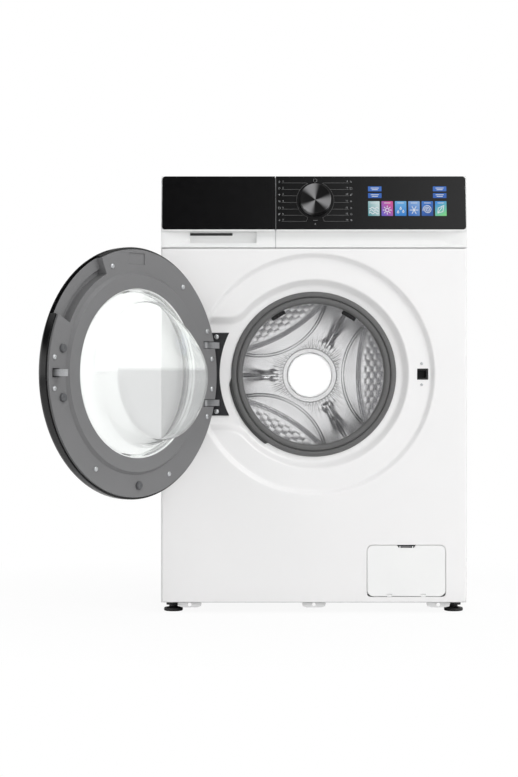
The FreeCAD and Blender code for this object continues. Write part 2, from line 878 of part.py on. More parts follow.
def door_inner_ring():
    w = door_wall
    flat, raised = door_flat, door_raised
    inner = door_window_radius
    back = door_front + w
    ring = turned(
        (door_flat_radius, flat - 14), (door_flat_radius, flat), (door_step_radius, flat),
        (door_raised_radius, raised), (inner + 2, raised), (inner, raised - 2), (inner, flat - 6),
        (inner + w, flat - 6), (inner + w, raised - w), (door_raised_radius - w / 2, raised - w),
        (door_step_radius - w / 2, flat - w), (door_flat_radius - w, flat - w),
        (door_flat_radius - w, flat - 14),
    )
    edge = door_flat_radius - touch_gap
    limit = turned(
        (0, back), (door_radius - door_round - 1, back), (edge, door_front + door_round + 1),
        (edge, flat), (0, flat),
    )
    hinge_block = box(
        hinge_x - 20, hinge_x + 26, hinge_y - 10, flat - w / 2, axis_height - 90, axis_height + 90
    ).common(limit)
    hook_block = box(
        hook_x - 13, hook_x + 13, back + 2, flat - w / 2, axis_height - 14, axis_height + 14
    ).common(limit)
    grip_block = grip(w, 21).common(limit)
    screws = door_screw_places()
    bosses = [rod(5, p - V(0, w / 2, 0), V(p.x, back, p.z)).common(limit) for p in screws]
    holes = [rod(screw_radius + running_gap, p + V(0, 1, 0), p - V(0, 12, 0)) for p in screws]
    holes += [rod(pin_radius, p - V(0, 0, 20), p + V(0, 0, 20)) for p in pin_places()]
    holes.append(rod(2.5 + running_gap, hook_pivot() - V(0, 0, 12), hook_pivot() + V(0, 0, 12)))
    low, high = door_step_radius + door_flat_width / 3, door_flat_radius - door_flat_width / 6
    holes.append(box(-22, 22, flat - 1.5, flat + 1, axis_height + low, axis_height + high))
    ring = merged(ring, hinge_block, hook_block, grip_block, *bosses)
    return opened(ring.cut(holes + arm_slots() + [hook_slot(), grip(0, 21)]))


def bowl_body(shrink):
    """Solid of the bowl's outside, or of its inside when shrunk by the wall."""
    end = door_flat + bowl_depth - shrink
    root = door_raised + 12
    start = door_flat - 10 if shrink else door_flat - 6
    rim = door_window_radius - touch_gap - shrink
    body = turned(
        (0, start), (rim, start), (rim, door_raised - shrink),
        (bowl_root_radius - shrink, root - shrink / 2),
        (bowl_tip_radius - shrink, end), (0, end),
    )
    knee, crown = V(0, door_flat + bowl_depth, bowl_knee), V(0, door_flat + 22, bowl_root_radius)
    along = crown - knee
    out = V(0, along.z, -along.y).normalize()
    low, high = knee - along * 0.4 - out * shrink, crown + along - out * shrink
    reach = V(0, 2 * bowl_depth, 0)
    wedge = face_of(low, high, high + reach, low + reach).extrude(V(4 * bowl_tip_radius, 0, 0))
    wedge.translate(V(-2 * bowl_tip_radius, 0, axis_height))
    body = body.cut(wedge)
    edges = [
        e for e in body.Edges
        if e.BoundBox.YMin > root + 2 and e.BoundBox.DiagonalLength > bowl_tip_radius
    ]
    return body.makeFillet(bowl_round - shrink, edges)


def door_glass():
    flange = turned(
        (door_window_radius - 5, door_flat - 10), (door_window_radius + 10, door_flat - 10),
        (door_window_radius + 10, door_flat - 6), (door_window_radius - 5, door_flat - 6),
    )
    shell = bowl_body(0).cut(bowl_body(bowl_wall))
    inside = bowl_body(bowl_wall)
    return opened(merged(shell, flange.cut(inside)))


def pin_places():
    return [V(hinge_x, hinge_y, axis_height + z) for z in (-hinge_spread, hinge_spread)]


def hinge_pins():
    return opened(group(*[rod(pin_radius, p - V(0, 0, 18), p + V(0, 0, 18)) for p in pin_places()]))


def pan_screw(place, outward, length):
    """A pan head on a face with its shank in the hole behind."""
    head = screw_head_radius
    cap = rod(head, place, place + outward * head * 0.45)
    rim = [e for e in cap.Edges if (e.CenterOfMass - place).dot(outward) > head * 0.4]
    cap = cap.makeFillet(head * 0.3, rim)
    return merged(cap, rod(screw_radius, place - outward * length, place + outward * head * 0.1))


def door_screws():
    return opened(group(*[pan_screw(p, V(0, 1, 0), 11) for p in door_screw_places()]))


def door_bumpers():
    wide = door_flat_width * 0.19
    spots = ((12.7, 0.28), (-12.7, 0.28), (-91.4, 0.48))
    pads = [Part.makeCone(wide, wide * 0.8, 5, on_flat(*spot), V(0, 1, 0)) for spot in spots]
    return opened(group(*pads))


def hook_pivot():
    return at_door(hook_x, door_flat - 12, 0)


def latch_hook():
    pivot = hook_pivot()
    tip = door_flat + hook_length
    x, z = hook_x, pivot.z - 6
    blade = face_of(
        V(x - 4, pivot.y, z), V(x - 4, tip - 12, z), V(x - 9, tip - 12, z), V(x - 4, tip - 2, z),
        (V(x, tip, z), V(x + 4, tip - 3, z)), V(x + 4, pivot.y, z),
        (V(x, pivot.y - 4, z), V(x - 4, pivot.y, z)),
    ).extrude(V(0, 0, 12))
    trunnion = rod(2.5, pivot - V(0, 0, 11.5), pivot + V(0, 0, 11.5))
    return opened(merged(blade, trunnion))


def hinge_screw_places():
    x = hinge_x + 22
    return [V(x, recess_floor - 2, axis_height + z) for z in (-73, 73)]


def hinge_bracket():
    y0 = recess_floor - 2
    plate = box(hinge_x, hinge_x + 62, y0, recess_floor, axis_height - 81, axis_height + 81)
    port = rod(recess_floor_radius + 12, at_door(0, y0 - 1, 0), at_door(0, recess_floor + 1, 0))
    holes = [rod(screw_radius + 0.1, p - V(0, 1, 0), p + V(0, 4, 0)) for p in hinge_screw_places()]
    plate = plate.cut([port] + holes)
    solids = []
    for p in pin_places():
        z0 = p.z - arm_height / 2
        foot = V(hinge_x + 24, y0, z0)
        pin = V(p.x, p.y, z0)
        side = (foot - pin).cross(V(0, 0, 1)).normalize() * arm_width / 2
        bar = face_of(pin - side, pin + side, foot + side + V(0, 1, 0), foot - side + V(0, 1, 0))
        arm = bar.extrude(V(0, 0, arm_height)).fuse(rod(6.5, pin, pin + V(0, 0, arm_height)))
        room = box(hinge_x - 60, hinge_x + 60, front - 60, recess_floor, z0, z0 + arm_height)
        solids.append(arm.common(room))
    bracket = merged(plate, *solids)
    tall = V(0, 0, arm_height)
    return bracket.cut([rod(pin_radius + running_gap, p - tall, p + tall) for p in pin_places()])


def lock_bezel(grow):
    size = 10.5 + grow
    return box(
        hook_x - size, hook_x + size, dish_floor - 0.6 - grow, dish_floor + 2 * sheet,
        axis_height - size, axis_height + size,
    )


def lock_screw_places():
    return [at_door(hook_x - 2, dish_floor, z) for z in (-20.5, 20.5)]


def door_lock():
    y, z = dish_floor, axis_height
    body = box(hook_x - 20, hook_x + 14, y + sheet, y + 34, z - 45, z + 45)
    slot = box(hook_x - 10, hook_x + 7, y - 2, y + 26, z - 7.5, z + 7.5)
    holes = [rod(screw_radius + 0.1, p, p + V(0, 16, 0)) for p in lock_screw_places()]
    return merged(rounded(body, 4, V(0, 1, 0)), lock_bezel(0)).cut(holes + [slot])


def cabinet_screws():
    out = V(0, -1, 0)
    screws = [pan_screw(p, out, 3) for p in lock_screw_places()]
    screws += [pan_screw(p, out, 2) for p in hinge_screw_places()]
    screws += [pan_screw(p, V(0, 1, 0), 1) for p in rear_screw_places()]
    return group(*screws)


# Gasket and what sits in it

def gasket():
    y, m, w = recess_floor, mouth_radius, gasket_wall
    collar = neck_radius + touch_gap
    hook = port_radius - touch_gap
    lip = port_lip + 1
    body = turned(
        (gasket_radius, y), (gasket_radius, y - 3.5), (gasket_radius - 3, y - 5.5), (m + 14.5, y - 5.5),
        (m + 13.5, y - 4), (m + 12.5, y - 4), (m + 11.5, y - 5.5), (m + 5, y - 5.5), (m, y - 1.5),
        (m, web_y + w), (collar, web_y + w), (collar, tub_front_y - 0.5), (collar + w, tub_front_y - 0.5),
        (collar + w, web_y), (m + w, web_y), (m + w, y + 2), (hook - 6, y + 2), (hook - 6, y + lip + w),
        (hook + 6, y + lip + w), (hook + 6, y + lip), (hook, y + lip), (hook, y),
    )
    spout = sector(gasket_radius - 4, gasket_radius + 6, y - 3.5, y, 180, 57)
    return merged(body, spout)


def spray_nozzles():
    y0, y1 = web_y - 14, web_y
    top = axis_height + mouth_radius
    body = box(-15, 15, y0, y1, top - 8, top)
    body = body.makeFillet(3, edges_along(body, V(0, 1, 0))[:2] + edges_along(body, V(1, 0, 0))[:1])
    body = body.common(rod(mouth_radius - touch_gap / 3, V(0, y0, axis_height), V(0, y1, axis_height)))
    slots = [box(x - 1, x + 1, y0 - 1, y1 - 4, top - 6, top - 3) for x in (-8, 0, 8)]
    body = body.cut(slots)
    return group(about_axis(body, 31), about_axis(body, -31))


# Tub

def tub_front():
    f, s = tub_front_y, tub_split
    shell = turned(
        (neck_radius - 4, web_y + gasket_wall + touch_gap), (neck_radius, web_y + gasket_wall + touch_gap),
        (neck_radius, f), (tub_outer - 8, f), (tub_outer, f + 8), (tub_outer, s - 8),
        (tub_outer + tub_flange, s - 8), (tub_outer + tub_flange, s), (tub_inner, s),
        (tub_inner, f + 9), (tub_inner - 5, f + tub_wall), (neck_radius - 4, f + tub_wall),
    )
    sump_y = front + sump_depth
    sump_top = axis_height - math.sqrt(tub_inner**2 - sump_x**2)
    spout = rod(14, V(sump_x, sump_y, sump_top + 4), V(sump_x, sump_y, sump_top - 34))
    inlet = hose_place()
    hose_z = hose_foot()
    spigot = rod(16, V(inlet.x, inlet.y, hose_z - 40), V(inlet.x, inlet.y, hose_z + 14))
    core = rod(tub_inner, V(0, f + tub_wall, axis_height), V(0, s, axis_height))
    shell = merged(shell, merged(spout, spigot).cut(core))
    return shell.cut([
        rod(11, V(sump_x, sump_y, sump_top + 30), V(sump_x, sump_y, sump_top - 35)),
        rod(13, V(inlet.x, inlet.y, hose_z - 50), V(inlet.x, inlet.y, hose_z + 15)),
    ])


def motor_ear_places():
    x = motor_radius * 0.82
    return [V(s * x, bearing_y - 72, motor_height + motor_radius + 6) for s in (-1, 1)]


def tub_rear():
    s, b = tub_split, tub_back_y
    hub_end = bearing_y + 40
    shell = turned(
        (tub_inner, s), (tub_outer + tub_flange, s), (tub_outer + tub_flange, s + 8), (tub_outer, s + 8),
        (tub_outer, b), (tub_outer - 6, bearing_y), (50, bearing_y), (46, hub_end), (20, hub_end),
        (20, b - 4), (50, b), (tub_inner - 5, b), (tub_inner, b - 5),
    )
    rib = face_of(
        at_door(44, bearing_y - 1, 0), at_door(tub_outer - 14, bearing_y - 1, 0),
        at_door(tub_outer - 14, bearing_y + 4, 0), at_door(44, hub_end - 8, 0),
    ).extrude(V(0, 0, 3))
    ribs = [about_axis(rib, 15 + 30 * i) for i in range(12)]
    core = rod(tub_inner + 1, V(0, s, axis_height), V(0, b, axis_height))
    lugs = []
    for p in motor_ear_places():
        for y0 in (p.y - 12 - touch_gap, p.y + 70 + touch_gap):
            lug = box(p.x - 11, p.x + 11, y0, y0 + 12, p.z - 10, axis_height - tub_inner + 10)
            lugs.append(lug.cut(core))
    for side in (-1, 1):
        x = side * damper_x
        lug = box(x - 12, x + 12, damper_y - 12, damper_y + 12, damper_head, damper_head + 60)
        lugs.append(lug.cut(core))
        x = side * spring_x
        lug = box(x - 9, x + 9, spring_y - 9, spring_y + 9, spring_foot - 78, spring_foot)
        lugs.append(lug.cut(core))
    well = box(-70, 70, s + 20, bearing_y, axis_height - tub_outer - 18, axis_height - tub_inner + 26)
    rear_half = merged(shell, well.cut(core), *ribs, *lugs)
    well_air = box(-66, 66, s + 24, b, axis_height - tub_outer - 14, axis_height - tub_inner + 30)
    cuts = [
        well_air,
        rod(31 + touch_gap / 10, V(0, bearing_y, axis_height), V(0, bearing_y + 16, axis_height)),
        rod(26 + touch_gap / 10, V(0, hub_end - 15, axis_height), V(0, hub_end, axis_height)),
    ]
    cuts += [rod(4.2, p - V(0, 20, 0), p + V(0, 90, 0)) for p in motor_ear_places()]
    low = heater_height()
    cuts += [rod(4.3, V(x, b - 5, low), V(x, bearing_y + 5, low)) for x in (-22, 22)]
    for x in (-spring_x, spring_x):
        top = V(x, spring_y, spring_foot + 1)
        cuts.append(rod(spring_wire + touch_gap, top - V(0, 0, 13), top))
    return rear_half.cut(cuts)


def heater_height():
    return axis_height - tub_outer - 2


def heater():
    z = heater_height()
    y0, y1 = tub_split + 50, bearing_y + 12
    legs = [rod(4, V(x, y0, z), V(x, y1, z)) for x in (-22, 22)]
    loop = Part.makeTorus(22, 4, V(0, y0, z), V(0, 0, 1))
    bend = loop.common(box(-40, 40, y0 - 40, y0, z - 9, z + 9))
    plate = box(-33, 33, bearing_y, bearing_y + 5, z - 11, z + 11)
    return merged(legs[0], legs[1], bend, rounded(plate, 10, V(0, 1, 0)))


def front_counterweights():
    y0 = tub_front_y - 32
    inner = (neck_radius + tub_outer - weight_width) / 2
    weights = []
    for start in (24, 204):
        weight = sector(inner, tub_outer - 10, y0, tub_front_y, start, 132)
        face = [e for e in weight.Edges if e.BoundBox.YMax < y0 + 1]
        weights.append(weight.makeFillet(4, face))
    return group(*weights)


def top_counterweight():
    """Concrete saddle on the tub, beside the dispenser."""
    top = axis_height + tub_outer + weight_rise
    block = box(
        seam_x + 5.5, weight_right, tub_split + 12, tub_back_y - 12, axis_height + tub_outer * 0.7, top
    )
    tub = rod(tub_outer + touch_gap / 3, V(0, tub_split, axis_height), V(0, tub_back_y, axis_height))
    return rounded(block, 12, V(0, 0, 1)).cut(tub)


def drum_bearings():
    hub_end = bearing_y + 40
    front_end, rear_end = V(0, bearing_y, axis_height), V(0, hub_end, axis_height)
    first = pipe(shaft_radius + running_gap, 31, front_end, front_end + V(0, 16, 0))
    second = pipe(shaft_tail_radius + running_gap, 26, rear_end - V(0, 15, 0), rear_end)
    shields = []
    for y, inner, outer in ((bearing_y + 16, 20, 27), (hub_end, 17, 22.5)):
        shields.append(pipe(inner, outer, V(0, y - 1.2, axis_height), V(0, y, axis_height)))
    return group(first.cut(shields[0]), second.cut(shields[1]))


def motor_housing():
    y0 = bearing_y - motor_length
    shaft = V(0, 0, motor_height)
    can = rod(motor_radius, shaft + V(0, y0, 0), shaft + V(0, bearing_y, 0))
    can = can.makeFillet(8, [e for e in can.Edges if e.Closed and not isinstance(e.Curve, Part.Line)])
    vents = []
    for i in range(12):
        top = motor_height + motor_radius
        vent = box(-3, 3, y0 + 18, y0 + 40, top - 4, top + 4)
        vent.rotate(shaft, V(0, 1, 0), 15 + 30 * i)
        vents.append(vent)
    ears = []
    for p in motor_ear_places():
        ear = rod(10, p, p + V(0, 70, 0))
        web = box(p.x - 8, p.x + 8, p.y, p.y + 70, motor_height, p.z)
        ears += [ear, web]
    motor = merged(can.cut(vents), *ears)
    bores = [rod(4.2, p - V(0, 1, 0), p + V(0, 71, 0)) for p in motor_ear_places()]
    bores.append(rod(8 + running_gap, shaft + V(0, bearing_y - 40, 0), shaft + V(0, bearing_y + 1, 0)))
    return motor.cut(bores)


def motor_bolts():
    bolts = []
    for p in motor_ear_places():
        head = p - V(0, 12 + touch_gap + 6, 0)
        shank = rod(4, head, p + V(0, 70 + touch_gap + 12 + 4, 0))
        bolts.append(merged(shank, rod(7, head, head + V(0, 6, 0))))
    return group(*bolts)


def motor_pulley():
    shaft = V(0, 0, motor_height)
    y0 = pulley_y - 1
    axle = rod(8, shaft + V(0, bearing_y - 38, 0), shaft + V(0, y0, 0))
    wheel = rod(motor_pulley_radius, shaft + V(0, y0, 0), shaft + V(0, y0 + pulley_width + 2, 0))
    grooves = [
        pipe(motor_pulley_radius - 1, motor_pulley_radius + 1, shaft + V(0, y, 0), shaft + V(0, y + 1.2, 0))
        for y in [y0 + 4 + 3 * i for i in range(5)]
    ]
    return merged(axle, wheel.cut(grooves))


def belt_loop(grow, y0, y1):
    """Closed belt path round both pulleys, grown outward."""
    big, small = pulley_radius + grow, motor_pulley_radius + grow
    span = axis_height - motor_height
    lean = math.asin((big - small) / span)
    c, s = math.cos(lean), math.sin(lean)
    outline = face_of(
        V(big * c, y0, axis_height - big * s),
        (V(0, y0, axis_height + big), V(-big * c, y0, axis_height - big * s)),
        V(-small * c, y0, motor_height - small * s),
        (V(0, y0, motor_height - small), V(small * c, y0, motor_height - small * s)),
    )
    return outline.extrude(V(0, y1 - y0, 0))


def drive_belt():
    y0, y1 = pulley_y + 2, pulley_y + pulley_width - 2
    return belt_loop(touch_gap + belt_wall, y0, y1).cut(belt_loop(touch_gap, y0, y1))


def damper_rods():
    rods = []
    for side in (-1, 1):
        x = side * damper_x
        top = V(x, damper_y, damper_head)
        stem = rod(damper_rod_radius, top - V(0, 0, 130), top)
        rods.append(merged(stem, rod(10, top - V(0, 0, 7), top)))
    return group(*rods)


def damper_cylinders():
    foot = base_floor + base_height
    head = damper_head - 36
    cylinders = []
    for side in (-1, 1):
        x = side * damper_x
        body = rod(15, V(x, damper_y, foot), V(x, damper_y, head))
        cap = rod(17, V(x, damper_y, head - 18), V(x, damper_y, head))
        end = V(x, damper_y, head + 1)
        bore = rod(damper_rod_radius + touch_gap, end - V(0, 0, 105), end)
        cylinders.append(merged(body, cap).cut(bore))
    return group(*cylinders)


def suspension_springs():
    """Two hanging coils, each one unbroken wire with a straight hook leg at both ends."""
    turns = 12
    low, high = spring_foot + 6, spring_head - 8
    springs = []
    for side in (-1, 1):
        base = V(side * spring_x, spring_y, low)
        coil = Part.makeHelix((high - low) / turns, high - low, spring_radius)
        coil.translate(base)
        start = base + V(spring_radius, 0, 0)
        ring = Part.Wire([Part.makeCircle(spring_wire, start, V(0, 1, 0))])
        wire = Part.Wire(coil.Edges).makePipeShell([ring], True, True)
        hooks = []
        for z0, z1 in ((spring_foot - 8, low), (high, spring_head + 4)):
            hooks.append(rod(spring_wire, V(base.x, base.y, z0), V(base.x, base.y, z1)))
            z = low if z1 == low else high
            hooks.append(rod(spring_wire, V(base.x, base.y, z), V(base.x + spring_radius, base.y, z)))
            hooks.append(Part.makeSphere(spring_wire, V(base.x, base.y, z)))
        springs.append(wire.fuse(hooks))
    return group(*springs)


def dispenser_hose():
    """Ribbed hose from the dispenser's spigot down to the tub's."""
    place = hose_place()
    low, high = hose_foot(), place.z - 8
    ribs = 6
    pitch = (high - low) / ribs
    points = [V(16 + touch_gap, 0, low)]
    for i in range(ribs):
        z = low + i * pitch
        points += [V(18.5, 0, z), V(22, 0, z + pitch / 2)]
    points += [V(18.5, 0, high), V(16 + touch_gap, 0, high)]
    profile = Part.Face(Part.makePolygon(points + points[:1]))
    hose = profile.revolve(V(0, 0, 0), V(0, 0, 1), 360)
    hose.translate(V(place.x, place.y, 0))
    return hose


def sump_hose():
    """Hose from the tub's lowest spout, down and across into the pump."""
    y = front + sump_depth
    top = axis_height - math.sqrt(tub_inner**2 - sump_x**2) - 10
    bend = 40
    inner, outer = 14 + touch_gap, 17.5
    corner = V(sump_x + bend, y, pump_height + bend)
    end = V(flap_x - pump_radius - 3, y, pump_height)

    def run(radius):
        drop = rod(radius, V(sump_x, y, top), V(sump_x, y, pump_height + bend))
        quarter = Part.makeTorus(bend, radius, corner, V(0, 1, 0)).common(
            box(corner.x - 2 * bend, corner.x, y - bend, y + bend, corner.z - 2 * bend, corner.z)
        )
        across = rod(radius, V(corner.x, y, pump_height), end)
        return merged(drop, quarter, across)

    return run(outer).cut(run(inner))


# Drum

def drum_shell():
    r, t, f, b = drum_radius, drum_sheet, drum_front, drum_back_y
    m = drum_mouth_radius
    return turned(
        (m, f + 14), (m, f + 3), (m + 3, f), (r - 14, f + 4), (r, f + 18), (r, b), (r - t, b),
        (r - t, f + 18), (r - 14.5, f + 5), (m + 3, f + 1), (m + t, f + 3), (m + t, f + 14),
    )


def lens_outline(y, grow):
    """Crescent ridge on the back wall, its hollow side to the rim."""
    tip_x, tip_z = 122, 112 + grow
    return face_of(
        at_door(tip_x - 3, y, -tip_z), (at_door(66 - grow, y, 0), at_door(tip_x - 3, y, tip_z)),
        at_door(tip_x + 3, y, tip_z), (at_door(106 + grow, y, 0), at_door(tip_x + 3, y, -tip_z)),
    )


def drum_back():
    r, t, b = drum_radius - drum_sheet, drum_sheet, drum_back_y
    rise = 10
    disc = turned(
        (0, b - rise), (r - 30, b - rise), (r - 18, b), (r, b),
        (r, b + t), (r - 18.5, b + t), (r - 30.5, b - rise + t), (0, b - rise + t),
    )
    ridge = 7
    for angle in (0, 120, 240):
        skin = lens_outline(b - rise - ridge, 0).extrude(V(0, ridge + t, 0))
        hollow = lens_outline(b - rise - ridge + t, -t).extrude(V(0, ridge + t, 0))
        disc = disc.fuse(about_axis(skin, angle)).cut(about_axis(hollow, angle))
    foot = V(0, b - rise - 6, axis_height)
    boss = Part.makeCone(hub_radius + 4, hub_radius + 14, 6, foot, V(0, 1, 0))
    bore = rod(hub_radius - 3, V(0, b - rise - 10, axis_height), V(0, b, axis_height))
    return merged(disc, boss).cut(bore)


def lifters():
    r = drum_radius - drum_sheet - touch_gap / 3
    w, h = lifter_width / 2, lifter_height
    y0, y1 = drum_front + 20, drum_back_y - 14
    section = face_of(
        at_door(r - h, y0, -9), (at_door(r - h - 4, y0, 0), at_door(r - h, y0, 9)),
        at_door(r - 4, y0, w), at_door(r + 20, y0, w), at_door(r + 20, y0, -w), at_door(r - 4, y0, -w),
    )
    bar = section.extrude(V(0, y1 - y0, 0))
    bar = bar.common(rod(r, V(0, y0, axis_height), V(0, y1, axis_height)))
    return group(*[about_axis(bar, angle) for angle in (60, 180, 300)])


def hub_cap():
    y = drum_back_y - 10
    cap = rod(hub_radius - 3 - touch_gap / 3, V(0, y - 4, axis_height), V(0, y + 4, axis_height))
    flange = rod(hub_radius, V(0, y - 9, axis_height), V(0, y - 6, axis_height))
    flange = flange.makeFillet(2, [e for e in flange.Edges if e.BoundBox.YMax < y - 8.5])
    stem = rod(hub_radius - 3 - touch_gap / 3, V(0, y - 6, axis_height), V(0, y - 4, axis_height))
    return merged(flange, stem, cap)


def spider():
    b = drum_back_y + drum_sheet
    hub = rod(46, V(0, drum_back_y - 6, axis_height), V(0, b + 11, axis_height))
    hub = hub.common(rod(hub_radius - 3 - touch_gap, V(0, 0, axis_height), V(0, b + 20, axis_height)))
    tip = drum_radius - 3
    arm = face_of(
        at_door(20, b, -22), at_door(tip, b, -13), at_door(tip, b, 13), at_door(20, b, 22)
    ).extrude(V(0, 11, 0))
    arms = [about_axis(arm, angle) for angle in (0, 120, 240)]
    body = merged(hub, *arms)
    return body.cut(rod(shaft_radius, V(0, drum_back_y - 6, axis_height), V(0, b + 12, axis_height)))


def drum_shaft():
    hub_end = bearing_y + 40
    step = hub_end - 15 - touch_gap
    main = rod(shaft_radius, V(0, drum_back_y - 6, axis_height), V(0, step, axis_height))
    tail = rod(shaft_tail_radius, V(0, step, axis_height), V(0, hub_end + 2, axis_height))
    stub = rod(9.5, V(0, hub_end, axis_height), V(0, pulley_y + pulley_width + 4, axis_height))
    return merged(main, tail, stub)


def drum_pulley():
    y0, y1 = pulley_y, pulley_y + pulley_width
    r = pulley_radius
    rim = turned((r - 10, y0), (r, y0), (r, y1), (r - 10, y1))
    hub = turned((9.5, y0 - 3.8), (26, y0 - 3.8), (22, y1), (9.5, y1))
    y = y0 + 4
    spoke = face_of(
        at_door(18, y, -13), at_door(r - 6, y, -8), at_door(r - 6, y, 8), at_door(18, y, 13)
    ).extrude(V(0, 9, 0))
    spokes = [about_axis(spoke, 60 * i) for i in range(6)]
    wheel = merged(rim, hub, *spokes)
    return wheel.cut(rod(9.5, V(0, y0 - 5, axis_height), V(0, y1 + 1, axis_height)))


# Rear fittings, pump and feet

def inlet_valve():
    p = inlet_place()
    nozzle = rod(13.2, p - V(0, 10, 0), p + V(0, 15, 0))
    flange = rod(19, p - V(0, sheet + 4, 0), p - V(0, sheet, 0))
    body = box(p.x - 20, p.x + 20, p.y - 60, p.y - 5, p.z - 22, p.z + 22)
    body = rounded(body, 5, V(0, 1, 0))
    spout = rod(7, p - V(0, 75, 0), p - V(0, 55, 0))
    return merged(nozzle, flange, body, spout).cut(rod(8, p + V(0, 1, 0), p + V(0, 16, 0)))


def rear_glands():
    cable, drain = gland_places()
    solids = []
    for place, bore, proud in ((cable, 4, 4), (drain, 7.5, 22)):
        barrel = rod(9 - touch_gap / 3, place - V(0, 12, 0), place + V(0, proud, 0))
        collar = rod(12.5, place, place + V(0, 3, 0))
        hole = rod(bore, place - V(0, 13, 0), place + V(0, proud + 1, 0))
        solids.append(merged(barrel, collar).cut(hole))
    return group(*solids)


def transit_caps():
    caps = []
    for p in transit_places():
        disc = rod(17, p, p + V(0, 4, 0))
        disc = disc.makeFillet(2, [e for e in disc.Edges if e.BoundBox.YMin > p.y + 3])
        caps.append(merged(disc, rod(11 - touch_gap / 3, p - V(0, 8, 0), p)))
    return group(*caps)


def drain_pump():
    start = V(flap_x, bay_back - base_wall, pump_height)
    body = rod(pump_radius, start, start + V(0, 110, 0))
    chamber = rod(pump_radius + 8, start + V(0, 100, 0), start + V(0, 130, 0))
    motor = rod(24, start + V(0, 128, 0), start + V(0, 180, 0))
    y = front + sump_depth
    spigot = rod(14, V(flap_x - pump_radius - 24, y, pump_height), V(flap_x - 8, y, pump_height))
    outlet = rod(10, start + V(0, 115, 0), start + V(0, 115, pump_radius + 40))
    solid = merged(body, chamber, motor, spigot, outlet)
    hollow = rod(pump_radius - 4, start - V(0, 1, 0), start + V(0, 96, 0))
    duct = rod(11, V(flap_x - pump_radius - 25, y, pump_height), V(flap_x, y, pump_height))
    return solid.cut([hollow, duct])


def pump_filter():
    face = V(flap_x, bay_back - base_wall, pump_height)
    r = pump_radius - 4 - running_gap
    plug = rod(r, face - V(0, 2, 0), face + V(0, 22, 0))
    flange = rod(pump_radius + 3, face - V(0, 6, 0), face - V(0, touch_gap, 0))
    flange = flange.makeFillet(1.5, [e for e in flange.Edges if e.BoundBox.YMax < face.y - 5])
    grip_bar = box(flap_x - 5, flap_x + 5, face.y - 22, face.y - 5, face.z - 22, face.z + 22)
    grip_bar = rounded(grip_bar, 4, V(0, 1, 0))
    cage = pipe(r - 6, r - 3, face + V(0, 21, 0), face + V(0, 84, 0))
    windows = [
        box(flap_x - 40, flap_x + 40, y, y + 12, face.z - 7, face.z + 7)
        for y in [face.y + 30 + 18 * i for i in range(3)]
    ]
    return merged(plug, flange, grip_bar, cage.cut(windows))


def filter_flap():
    plate = flap_block(0, flap_low_round, front, front + flap_wall)
    top = flap_bottom + flap_height
    cuts = [box(flap_x - 17.5, flap_x + 17.5, front - 1, front + flap_wall + 1, top - 5, top + 1)]
    pins = []
    for p in knuckle_places():
        across = V(knuckle_width / 2 + 0.5, 0, 0)
        cuts.append(box(
            p.x - across.x, p.x + across.x, front - 1, front + flap_wall + 1, flap_bottom - 1, p.z + 2.8
        ))
        pins.append(rod(knuckle_pin_radius, p - across * 1.3, p + across * 1.3))
    return merged(plate.cut(cuts), *pins)


def foot(x, y):
    profile = face_of(
        V(0, 0, 0), V(foot_radius - 1.5, 0, 0), V(foot_radius, 0, 1.5), V(foot_radius, 0, 7),
        V(foot_radius - 4, 0, 12), V(foot_stem_radius, 0, 13),
        V(foot_stem_radius, 0, base_floor - touch_gap),
        V(foot_screw_radius, 0, base_floor - touch_gap), V(foot_screw_radius, 0, base_floor + 30),
        V(0, 0, base_floor + 30),
    )
    shape = profile.revolve(V(0, 0, 0), V(0, 0, 1), 360)
    shape.translate(V(x, y, 0))
    return shape


def main():
    os.makedirs("parts", exist_ok=True)
    makers = (
        front_panel, left_side_panel, right_side_panel, worktop, rear_panel, base_tray, top_rails,
        control_fascia, control_lens, control_board, program_dial,
        drawer_front, drawer_lens, drawer_tray, siphon_cap, dispenser_housing,
        door_outer_trim, door_inner_ring, door_glass, hinge_pins, door_screws, door_bumpers, latch_hook,
        hinge_bracket, door_lock, cabinet_screws, gasket, spray_nozzles,
        tub_front, tub_rear, heater, front_counterweights, top_counterweight, drum_bearings,
        motor_housing, motor_bolts, motor_pulley, drive_belt, damper_rods, damper_cylinders,
        suspension_springs, dispenser_hose, sump_hose,
        drum_shell, drum_back, lifters, hub_cap, spider, drum_shaft, drum_pulley,
        inlet_valve, rear_glands, transit_caps, drain_pump, pump_filter, filter_flap,
    )
    shapes = {maker.__name__: maker() for maker in makers}
    names = ("foot_front_left", "foot_front_right", "foot_rear_left", "foot_rear_right")
    for name, place in zip(names, foot_places()):
        shapes[name] = foot(*place)
    for name, shape in shapes.items():
        shape.exportStep(f"parts/{name}.step")
        print(name, len(shape.Solids), shape.isValid(), round(shape.Volume / 1000, 1))


main()
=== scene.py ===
import json
import math
import bmesh
import bpy
from mathutils import Matrix, Vector


